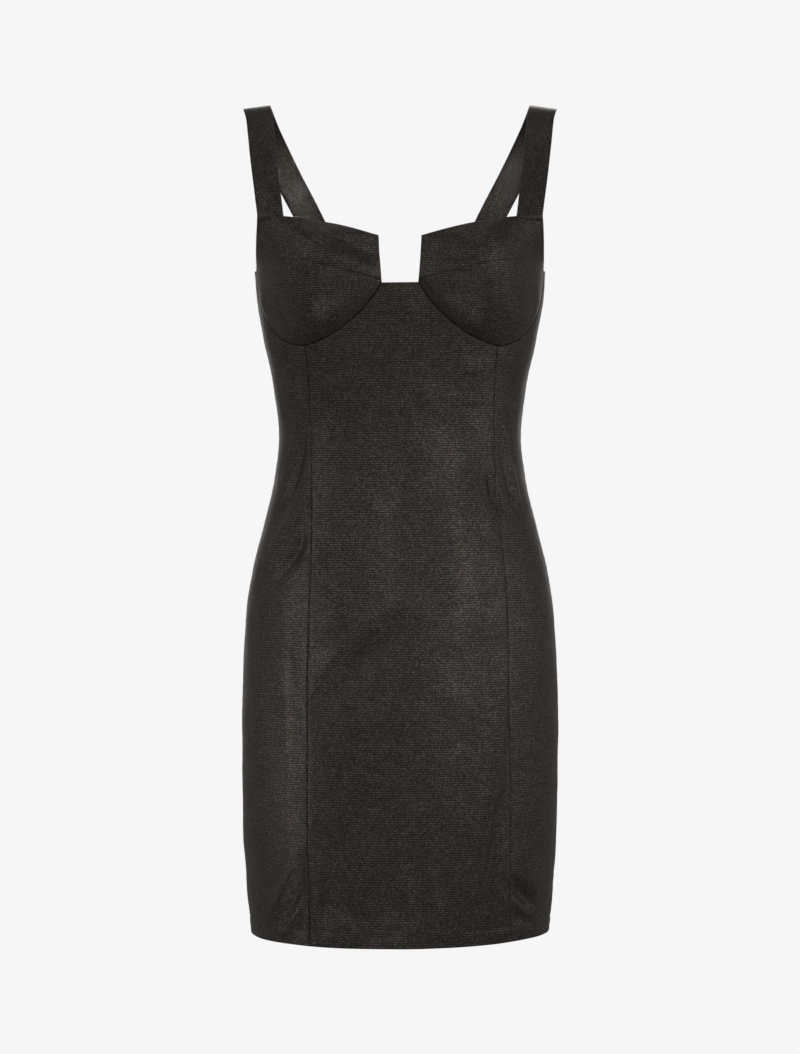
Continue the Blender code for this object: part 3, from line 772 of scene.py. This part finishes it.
def make_cup_piece(cup, part, levels, materials):
    """One piece of a cup, between two of its lines."""
    angles = arc_angles(cup, cup.first, math.pi)
    spread = graded(CUP_WIDTH)
    angles = np.interp(spread, np.linspace(0, 1, len(angles)), angles)
    if cup.side < 0:
        angles = angles[::-1]
    rows = levels[0] + (levels[1] - levels[0]) * graded(CUP_HEIGHTS[part])
    grid_angle, grid_level = np.meshgrid(angles, rows)
    form = cup.point(grid_angle, grid_level)
    base_turn = turn_at(form[..., 0], -form[..., 2])
    base_normal = body_normal(base_turn, -form[..., 2])
    wire = cup.point(angles, np.zeros(angles.shape))
    away = 1 - near(distance_to(form, wire), CUP_CALM)
    normal = unit(base_normal + (grid_normal(form) - base_normal) * away[..., None])
    relief = cup_relief(form, cup.side)
    line = {level: cup.point(angles, np.full(angles.shape, float(level))) for level in levels}
    outward = np.abs(line[1][:, 0]) / CUP_OUTER_REACH
    cross_seam = Seam(line[1], np.clip(0.75 - 0.75 * outward, 0.08, 1.0))
    notch = cup.point(np.full(rows.shape, cup.first), rows)
    armhole = cup.point(np.full(rows.shape, math.pi), rows)
    if part == "upper":
        seams, folds = [cross_seam], [line[2], notch, armhole]
        relief = relief * (1 - 0.85 * near(distance_to(form, line[2]), TOP_EDGE_CALM))
    else:
        seams, folds = [Seam(line[0], wire_strength(angles)), cross_seam], [notch, armhole]
    gap = np.min([distance_to(form, seam.line) for seam in seams], axis=0)
    relief = relief * away + puckers(gap, form[..., 0], 3.0 + cup.side)
    seam_row = -1 if part == "upper" else 0
    step = np.linalg.norm(np.diff(form, axis=0), axis=-1)
    run = np.concatenate((np.zeros((1, form.shape[1])), np.cumsum(step, axis=0)))
    middle = cup.seam_drop(np.abs(form[seam_row, :, 0]))
    weave = np.stack([along_rows(form), middle[None] + run - run[seam_row][None]], axis=-1)
    rests_on = ["front_centre", f"front_side_{cup.word}"]
    add_cloth(f"cup_{part}_{cup.word}", form, normal, relief, weave, seams, folds, materials, rests_on)


def curve_through(points, steps):
    """Points along a Catmull-Rom curve, with the given points among them."""
    ends = [2 * points[0] - points[1], *points, 2 * points[-1] - points[-2]]
    line = []
    for k in range(1, len(ends) - 2):
        a, b, c, d = ends[k - 1 : k + 3]
        for t in np.linspace(0, 1, steps, endpoint=False):
            square, cube = 2 * a - 5 * b + 4 * c - d, 3 * b - a - 3 * c + d
            line.append((2 * b + (c - a) * t + square * t**2 + cube * t**3) / 2)
    return np.array(line + [points[-1]])


def strap_end_on_cup(cup, share):
    """The strap's lower end, tucked behind the cup's top edge."""
    reach = STRAP_INNER_REACH + (ARMHOLE_REACH - STRAP_INNER_REACH) * share
    drop = top_edge_drop(reach)
    cup_share = (reach - NOTCH_TOP) / (ARMHOLE_REACH - NOTCH_TOP)
    edge = body_point(turn_at(cup.side * reach, drop), drop)
    return edge + np.array([0, -EDGE_BULGE * (1 - cup_share * cup_share), STRAP_LIFT])


def strap_end_on_back(side, share):
    reach = STRAP_BACK_INNER + (STRAP_BACK_OUTER - STRAP_BACK_INNER) * share
    turn = turn_at(side * reach, BACK_NECK_DROP, back=True)
    return body_point(turn, back_neck(turn)) + np.array([0, 0, STRAP_LIFT])


def make_strap(cup, materials):
    """A band of cloth folded double, from behind the cup's top edge over the shoulder to the back neck."""
    mirror = np.array([cup.side, 1, 1])
    shares = graded(STRAP_WIDTH, start=SEAM_STEPS[:6], end=SEAM_STEPS[:6])
    steps = round(STRAP_SPAN / FINE)
    lines = []
    for share in shares:
        stations = [strap_end_on_cup(cup, share)]
        for station in STRAP_STATIONS:
            inner, outer = np.array(station.inner), np.array(station.outer)
            stations.append((inner * (1 - share) + outer * share) * mirror)
        stations.append(strap_end_on_back(cup.side, share))
        line = curve_through(stations, steps)
        behind_cup = line[0] + (line[0] - line[3]) / np.linalg.norm(line[0] - line[3]) * STRAP_TUCK
        behind_cup = behind_cup + np.array([0, WALL + SEAM_GAP, 0])
        behind_back = line[-1] + np.array([0, -WALL - SEAM_GAP, -STRAP_TUCK])
        lines.append(np.concatenate(([behind_cup], line, [behind_back]))[::-1])
    form = np.stack(lines if cup.side > 0 else lines[::-1], axis=1)
    normal = grid_normal(form)
    along = np.cumsum(np.linalg.norm(np.diff(form, axis=0), axis=-1).mean(axis=1))
    along = np.concatenate(([0.0], along))[:, None] * np.ones(form.shape[:2])
    across = along_rows(form)
    edge_gap = np.minimum(across - across[:, :1], across[:, -1:] - across)
    relief = 0.6 * waves(across + 0.03 * cup.side, along)
    pressed = STRAP_STITCH_DEPTH * near(edge_gap - STRAP_STITCH_IN, STRAP_STITCH_REACH)
    relief = relief - pressed * (0.7 + 0.3 * np.sin(2 * math.pi * along / STRAP_STITCH_PITCH))
    folds = [form[:, 0], form[:, -1]]
    weave = np.stack([across, along], axis=-1)
    rests_on = [f"cup_upper_{cup.word}", f"back_{cup.word}"]
    node = f"strap_{cup.word}"
    add_cloth(node, form, normal, relief, weave, [], folds, materials, rests_on, wall=STRAP_WALL)


# ---------------------------------------------------------------- the zip, inside the centre back


def make_zip_tape(side, word, material):
    """One of the zip's two woven tapes, flat to the inside of the back."""
    rows = round((ZIP_END_DROP - BACK_NECK_DROP) / (2 * FINE))
    drop = np.linspace(BACK_NECK_DROP + TAPE_TOP, ZIP_END_DROP, rows)
    edge = ZIP_WIDTH / 2
    shares = graded(edge - SEAM_GAP, spacing=TAPE_FINE, start=SEAM_STEPS[:5], end=SEAM_STEPS[:5])
    x = SEAM_GAP + (edge - SEAM_GAP) * shares
    grid_x, grid_drop = np.meshgrid(x[::-1] if side > 0 else -x, drop)
    form = body_point(turn_at(grid_x, grid_drop, back=True), grid_drop)
    form[..., 1] -= WALL + 2 * SEAM_GAP
    from_middle = np.abs(grid_x)
    selvedge = near(from_middle - edge + TAPE_SELVEDGE_IN, TAPE_SELVEDGE_REACH)
    stitches = 0.5 + 0.5 * np.sin(2 * math.pi * grid_drop / TAPE_STITCH_PITCH)
    stitches = stitches * near(from_middle - TAPE_STITCH_OUT, TAPE_STITCH_REACH)
    relief = waves(grid_x, grid_drop) * 0.25 + TAPE_RELIEF * (selvedge - stitches) - TAPE_SINK
    weave = np.stack([grid_x, grid_drop], axis=-1)
    name = f"zip_tape_{word}"
    sizes = {"name": name, "wall": ZIP_TAPE, "slot": "zip_tape"}
    normal = grid_normal(form)
    add_cloth("back_zip_tape", form, normal, relief, weave, [], [], [material], [f"back_{word}"], **sizes)


def make_zip_coil(side, word, material):
    """The nylon coil sewn to one tape. The two coils mesh, half a pitch apart."""
    sections = 10
    start, end = BACK_NECK_DROP + COIL_TOP, ZIP_END_DROP - COIL_END
    turns = np.linspace(0, (end - start) / COIL_PITCH, round((end - start) / COIL_PITCH * sections))
    drop = start + COIL_PITCH * (turns + (0.5 if side > 0 else 0.0))
    angle = 2 * math.pi * turns
    path = body_point(np.full(drop.shape, math.pi), drop)
    path[:, 0] = side * (COIL_MIDDLE + COIL_HALF_WIDTH * np.cos(angle))
    depth = WALL + 2 * SEAM_GAP + ZIP_TAPE + COIL_HALF_DEPTH + COIL_WIRE
    path[:, 1] += COIL_HALF_DEPTH * np.sin(angle) - depth
    coil = tube(f"zip_coil_{word}", path, COIL_WIRE, 5, material)
    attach(coil, "dress")
    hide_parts("back_zip_tape")


def tube(name, path, radius, sides, material):
    """A closed round tube along a path that winds about the vertical."""
    heading = unit(np.gradient(path, axis=0))
    aside = unit(np.cross(heading, np.array([0.0, 0.0, 1.0])))
    up = np.cross(aside, heading)
    angle = 2 * math.pi * np.arange(sides) / sides
    ring = np.cos(angle)[None, :, None] * aside[:, None] + np.sin(angle)[None, :, None] * up[:, None]
    points = (path[:, None] + radius * ring).reshape(-1, 3)
    faces = []
    for k in range(len(path) - 1):
        for j in range(sides):
            a, b = k * sides + j, k * sides + (j + 1) % sides
            faces.append((a, b, b + sides, a + sides))
    faces.append(tuple(reversed(range(sides))))
    faces.append(tuple(range(len(points) - sides, len(points))))
    mesh = bpy.data.meshes.new(name)
    mesh.from_pydata(points.tolist(), [], faces)
    mesh.shade_smooth()
    mesh.materials.append(material)
    obj = bpy.data.objects.new(name, mesh)
    bpy.context.scene.collection.objects.link(obj)
    return obj


# ---------------------------------------------------------------- materials


class Nodes:
    """A small helper that adds shader nodes to a material or a world, and joins them."""

    def __init__(self, owner):
        owner.use_nodes = True
        self.owner = owner
        self.tree = owner.node_tree

    def put(self, slot, value):
        if isinstance(value, bpy.types.NodeSocket):
            self.tree.links.new(value, slot)
        else:
            slot.default_value = value

    def set(self, **inputs):
        """Sets inputs of the material's shader."""
        for key, value in inputs.items():
            self.put(self.tree.nodes["Principled BSDF"].inputs[key.replace("_", " ")], value)

    def add(self, kind, **inputs):
        node = self.tree.nodes.new("ShaderNode" + kind)
        for key, value in inputs.items():
            self.put(node.inputs[key.replace("_", " ")], value)
        return node.outputs

    def math(self, operation, *values):
        outputs = self.add("Math")
        node = outputs[0].node
        node.operation = operation
        for slot, value in zip(node.inputs, values):
            self.put(slot, value)
        return outputs[0]

    def mix(self, share, a, b, blend="MIX"):
        node = self.add("Mix")[0].node
        node.data_type = "RGBA"
        node.blend_type = blend
        self.put(node.inputs["Factor"], share)
        for slot, value in zip([slot for slot in node.inputs if slot.type == "RGBA"], (a, b)):
            self.put(slot, value if isinstance(value, bpy.types.NodeSocket) else (*value, 1.0))
        return next(slot for slot in node.outputs if slot.type == "RGBA")

    def span(self, value, low, high, to_low=0.0, to_high=1.0):
        """Carries a value from one range to another, and holds it at the ends."""
        ends = {"From Min": low, "From Max": high, "To Min": to_low, "To Max": to_high}
        return self.add("MapRange", Value=value, **ends)[0]

    def cloth_place(self):
        """The place in the cloth in metres: both together, across the rows' run, and down over the rows."""
        place = self.add("UVMap")[0]
        place.node.uv_map = "cloth"
        return place, *self.add("SeparateXYZ", Vector=place)[:2]

    def noise(self, place, scale, detail, roughness=0.5):
        """Clouds, this many to the metre each way: their brightness, and three more of them as a colour."""
        spread = self.add("Mapping", Vector=place, Scale=scale)[0]
        return self.add("TexNoise", Vector=spread, Scale=1.0, Detail=detail, Roughness=roughness)

    def wave(self, value, length):
        return self.math("SINE", self.math("MULTIPLY", value, 2 * math.pi / length))

    def raised(self, height, strength):
        """Gives the shader this relief, in metres."""
        self.set(Normal=self.add("Bump", Height=height, Strength=strength, Distance=1.0)[0])


ROW_PITCH = 0.0024  # height of one knit row
ROW_WANDER = 0.0012  # how far a row strays up and down
GRAIN = 0.00105  # size of one speck of the glitter yarn
GAP = (0.0090, 0.0079, 0.0062)  # between the rows
YARN = (0.030, 0.0259, 0.0211)
GLINT = (0.132, 0.118, 0.1200)
WARM_GLINT = (0.141, 0.117, 0.1205)
COOL_GLINT = (0.120, 0.118, 0.134)
GREEN_GLINT = (0.124, 0.128, 0.106)
BROWN = (1.05, 0.985, 0.93)  # slow drifts of the yarn's tint
MAUVE = (1.02, 0.96, 1.01)
OLIVE = (0.96, 0.995, 0.90)


def glitter_cloth():
    """Dark bronze-brown knit: level rows of matt yarn, full of metallic specks that glint one by one."""
    n = Nodes(bpy.data.materials.new("glitter_cloth"))
    place, across, down = n.cloth_place()
    wander = n.noise(place, (60, 26, 1), 3)[0]
    shifted = n.math("MULTIPLY_ADD", n.math("SUBTRACT", wander, 0.5), ROW_WANDER, down)
    rib = n.math("MULTIPLY_ADD", n.wave(shifted, ROW_PITCH), 0.5, 0.5)

    speck_place = n.add("CombineXYZ", X=across, Y=shifted)[0]
    speck_place = n.add("Mapping", Vector=speck_place, Scale=(1 / GRAIN, 1 / GRAIN, 1))[0]
    cells = n.add("TexVoronoi", Vector=speck_place, Scale=1.0)
    lot, hue, tilt = n.add("SeparateColor", Color=cells["Color"])
    round_cell = n.span(cells["Distance"], 0.1, 0.8, 1.0, 0.0)
    fibre = n.noise(place, (900, 1100, 1), 2)[0]
    drifts = n.add("SeparateColor", Color=n.noise(place, (46, 40, 1), 4)[1])

    metal = n.math("POWER", n.span(lot, 0.1, 1.0), 1.7)
    metal = n.math("MULTIPLY", metal, n.span(round_cell, 0.0, 1.0, 0.25, 1.0))
    metal = n.math("MULTIPLY", metal, n.span(rib, 0.1, 0.7, 0.22, 1.0))
    metal = n.math("MULTIPLY", metal, n.span(drifts[0], 0.3, 0.7, 0.75, 1.15))

    yarn = n.math("MULTIPLY", n.span(rib, 0.1, 0.7, 0.25, 1.0), n.span(fibre, 0.3, 0.7, 0.35, 1.0))
    glint = n.mix(n.span(hue, 0.15, 0.3), WARM_GLINT, GLINT)
    glint = n.mix(n.span(hue, 0.74, 0.86), glint, COOL_GLINT)
    glint = n.mix(n.span(hue, 0.90, 0.95), glint, GREEN_GLINT)
    tint = n.mix(n.span(drifts[1], 0.42, 0.60), BROWN, MAUVE)
    tint = n.mix(n.span(drifts[2], 0.48, 0.62), tint, OLIVE)
    n.set(
        Base_Color=n.mix(1.0, n.mix(metal, n.mix(yarn, GAP, YARN), glint), tint, "MULTIPLY"),
        Metallic=n.span(metal, 0.0, 1.0, 0.45, 0.9),
        Roughness=n.span(metal, 0.0, 1.0, 0.44, 0.35),
        Specular_IOR_Level=0.15,
        Specular_Tint=(0.60, 0.56, 0.53, 1),
    )
    height = n.math("MULTIPLY_ADD", rib, 0.00010, n.math("MULTIPLY", round_cell, 0.00006))
    height = n.math("MULTIPLY_ADD", tilt, 0.00006, height)
    n.raised(n.math("MULTIPLY_ADD", fibre, 0.00005, height), 0.5)
    return n.owner


def lining():
    """The smooth dark lining that backs the panels: a fine warp knit with a soft shine."""
    n = Nodes(bpy.data.materials.new("lining"))
    place, across, down = n.cloth_place()
    knit = n.math("MULTIPLY", n.wave(across, 0.0007), n.wave(down, 0.0005))
    cloud = n.span(n.noise(place, (30, 22, 1), 4)[0], 0.3, 0.7)
    n.set(
        Base_Color=n.mix(cloud, (0.012, 0.0105, 0.0095), (0.020, 0.0175, 0.0155)),
        Roughness=n.span(knit, -1.0, 1.0, 0.5, 0.62),
        Specular_IOR_Level=0.3,
        Sheen_Weight=0.05,
    )
    n.raised(n.math("MULTIPLY", knit, 0.00004), 0.6)
    return n.owner


def woven_tape():
    """The zip's matt dark tape: a fine twill with ribs along it."""
    n = Nodes(bpy.data.materials.new("woven_tape"))
    place, across, down = n.cloth_place()
    twill = n.wave(n.math("MULTIPLY_ADD", across, 0.8, down), 0.00070)
    weave = n.math("MULTIPLY", n.wave(across, 0.00055), twill)
    lint = n.span(n.noise(place, (600, 250, 1), 4)[0], 0.25, 0.75, 0.6, 1.0)
    shade = n.math("MULTIPLY", n.span(weave, -1.0, 1.0, 0.35, 1.0), lint)
    n.set(
        Base_Color=n.mix(shade, (0.0045, 0.0042, 0.0040), (0.0170, 0.0155, 0.0145)),
        Roughness=n.span(weave, -1.0, 1.0, 0.85, 0.70),
        Specular_IOR_Level=0.25,
        Sheen_Weight=0.08,
    )
    n.raised(n.math("MULTIPLY", weave, 0.00007), 0.7)
    return n.owner


def nylon():
    """Dark drawn nylon, a little uneven in its shine."""
    n = Nodes(bpy.data.materials.new("nylon_coil"))
    cloud = n.noise(n.add("TexCoord")["Object"], (900, 900, 260), 3)[0]
    n.set(
        Base_Color=n.mix(n.span(cloud, 0.3, 0.7), (0.010, 0.0095, 0.009), (0.018, 0.0168, 0.0158)),
        Roughness=n.span(cloud, 0.25, 0.75, 0.30, 0.46),
        Specular_IOR_Level=0.45,
    )
    n.raised(n.math("MULTIPLY", cloud, 0.00003), 0.5)
    return n.owner


def painted_metal():
    """Die-cast metal under dark satin paint: a fine skin, faint clouding and small, shinier scuffs."""
    n = Nodes(bpy.data.materials.new("painted_metal"))
    place = n.add("TexCoord")["Object"]
    skin = n.noise(place, (2200, 2200, 2200), 2)[0]
    cloud = n.span(n.noise(place, (240, 240, 240), 4)[0], 0.3, 0.7)
    worn = n.span(n.noise(place, (2600, 900, 160), 5, 0.7)[0], 0.60, 0.70)
    paint = n.mix(cloud, (0.019, 0.0176, 0.0166), (0.027, 0.0248, 0.0232))
    n.set(
        Base_Color=n.mix(worn, paint, (0.060, 0.054, 0.050)),
        Metallic=n.span(worn, 0.0, 1.0, 0.15, 0.6),
        Roughness=n.span(cloud, 0.0, 1.0, 0.30, 0.42),
    )
    n.raised(n.math("MULTIPLY_ADD", skin, 0.00001, n.math("MULTIPLY", worn, -0.00001)), 0.5)
    return n.owner


def paint_node(node, material):
    """A CAD node that keeps its shape gets a better material."""
    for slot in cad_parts[node].material_slots:
        slot.material = material


# ---------------------------------------------------------------- camera, stage and lights

CAMERA_AWAY = 2.75
CAMERA_DROP = 0.434
FRAME_HEIGHT = 1.09616  # of what the camera sees, level with the straps
PALE = 0.922


def make_camera():
    data = bpy.data.cameras.new("camera")
    data.sensor_width = 36
    data.lens = 36 * CAMERA_AWAY / FRAME_HEIGHT
    camera = bpy.data.objects.new("camera", data)
    camera.location = (0, -CAMERA_AWAY, -CAMERA_DROP)
    camera.rotation_euler = (math.pi / 2, 0, 0)
    bpy.context.scene.collection.objects.link(camera)
    bpy.context.scene.camera = camera


# Soft boxes round the dress, named from the camera's side. A narrow spread is a box with a grid.
Softbox = namedtuple("Softbox", "name place target size power spread")
SOFTBOXES = (
    ("front_right", (0.70, -2.60, 0.30), (0, 0, -0.50), (0.70, 0.90), 7.6, 180),
    ("front_left", (-0.70, -2.60, 0.30), (0, 0, -0.50), (0.70, 0.90), 5.2, 180),
    ("half_left", (-1.35, -2.25, -0.15), (0, 0, -0.50), (0.60, 0.90), 0.8, 180),
    ("right", (2.30, -1.35, -0.30), (0, 0, -0.50), (0.50, 1.00), 10.2, 180),
    ("far_right", (2.60, -0.20, -0.30), (0, 0, -0.50), (0.50, 1.20), 3.0, 180),
    ("left", (-2.20, -1.40, 0.60), (0, 0, -0.40), (0.40, 0.90), 8.8, 180),
    ("far_left", (-2.60, -0.20, -0.60), (0, 0, -0.50), (0.50, 1.20), 1.2, 180),
    ("low_front", (0, -1.60, -1.90), (0, 0, -0.20), (1.60, 0.80), 9.6, 180),
    ("left_thigh", (-2.20, -1.40, -0.66), (-0.11, -0.08, -0.66), (0.25, 0.35), 0.095, 12),
    ("right_hip", (1.18, -2.34, -0.18), (0.05, -0.10, -0.51), (0.50, 0.35), 0.145, 13),
    ("left_strap", (-1.20, -2.30, -0.45), (0.12, 0.03, 0.025), (0.15, 0.15), 0.072, 5),
    ("right_strap", (1.20, -2.30, -0.45), (-0.105, 0.05, -0.02), (0.15, 0.15), 0.050, 5),
    ("top", (0, -0.60, 2.30), (0, -0.05, -0.08), (0.50, 0.30), 0.070, 9),
    ("under_bust_left", (-0.95, -1.80, -1.65), (-0.09, -0.10, -0.23), (0.40, 0.30), 0.046, 8),
    ("under_bust_right", (0.95, -1.80, -1.65), (0.09, -0.10, -0.23), (0.40, 0.30), 0.022, 8),
    ("back_right", (0.35, 2.35, 1.35), (0, 0, -0.50), (0.80, 0.60), 13.0, 180),
    ("back_left", (-0.45, 2.35, 1.10), (0, 0, -0.50), (0.80, 0.60), 8.0, 180),
    ("back_low", (0.20, 2.00, -1.80), (0, 0, -0.50), (1.20, 0.70), 7.0, 180),
    ("back_half_right", (1.10, 2.40, -0.10), (0, 0, -0.50), (0.40, 0.90), 2.0, 180),
    ("back_half_left", (-1.10, 2.40, -0.30), (0, 0, -0.50), (0.40, 0.90), 2.0, 180),
)

# Strength of the even surround: what it has from below, and what it gains towards each other side
SURROUND = 0.09
Gain = namedtuple("Gain", "axis first full strength")
GAINS = (
    Gain("Z", -0.4, 0.4, 0.19),
    Gain("Y", -0.1, 0.6, 0.14),
    Gain("X", 0.4, 0.9, 0.30),
)


def add_softbox(softbox):
    data = bpy.data.lights.new(softbox.name, "AREA")
    data.shape = "RECTANGLE"
    data.size, data.size_y = softbox.size
    data.energy = softbox.power
    data.spread = math.radians(softbox.spread)
    light = bpy.data.objects.new(softbox.name, data)
    light.location = softbox.place
    heading = Vector(softbox.target) - Vector(softbox.place)
    light.rotation_euler = heading.to_track_quat("-Z", "Y").to_euler()
    bpy.context.scene.collection.objects.link(light)


def make_stage():
    """A pale studio: a floor that runs up into a pale surround, seen by the camera alone."""
    n = Nodes(bpy.data.materials.new("pale_studio"))
    n.set(Base_Color=(0, 0, 0, 1), Specular_IOR_Level=0.0)
    n.set(Emission_Color=(PALE, PALE, PALE, 1), Emission_Strength=1.0)
    bpy.ops.mesh.primitive_uv_sphere_add(segments=48, ring_count=24, radius=9, location=(0, 0, -0.4))
    surround = bpy.context.object
    surround.name = "studio_surround"
    bpy.ops.mesh.primitive_circle_add(vertices=96, radius=6, fill_type="NGON", location=(0, 0, -1.25))
    floor = bpy.context.object
    floor.name = "studio_floor"
    for obj in (surround, floor):
        obj.data.materials.append(n.owner)
        obj.visible_diffuse = False
        obj.visible_glossy = False
        obj.visible_shadow = False
        obj.visible_transmission = False


def make_lights():
    """The soft boxes, and a surround like a pale room: brighter above, at both sides and behind."""
    world = bpy.data.worlds.new("studio")
    bpy.context.scene.world = world
    n = Nodes(world)
    split = n.add("SeparateXYZ", Vector=n.add("TexCoord")["Generated"])
    total = SURROUND
    for gain in GAINS:
        towards = n.math("ABSOLUTE", split[gain.axis]) if gain.axis == "X" else split[gain.axis]
        rise = n.span(towards, gain.first, gain.full, 0.0, gain.strength)
        rise.node.interpolation_type = "SMOOTHSTEP"
        total = n.math("ADD", rise, total)
    background = n.tree.nodes["Background"]
    n.put(background.inputs["Color"], (1, 1, 1, 1))
    n.put(background.inputs["Strength"], total)
    for softbox in itertools.starmap(Softbox, SOFTBOXES):
        add_softbox(softbox)


def main():
    bpy.context.scene.view_settings.view_transform = "Standard"
    make_camera()
    make_stage()
    make_lights()
    cloth, inner = glitter_cloth(), lining()
    cups = {side: Cup(side) for side in (-1, 1)}
    make_centre_front(cups, [cloth, inner])
    for cup in cups.values():
        make_side_front(cup, [cloth, inner])
        make_back(cup, [cloth, inner])
        make_cup_piece(cup, "upper", (2, 1), [cloth, inner])
        make_cup_piece(cup, "lower", (1, 0), [cloth, inner])
        make_strap(cup, [cloth])
    tape, coil, metal = woven_tape(), nylon(), painted_metal()
    for cup in cups.values():
        make_zip_tape(cup.side, cup.word, tape)
        make_zip_coil(cup.side, cup.word, coil)
    paint_node("zip_slider", metal)
    paint_node("zip_pull", metal)


main()
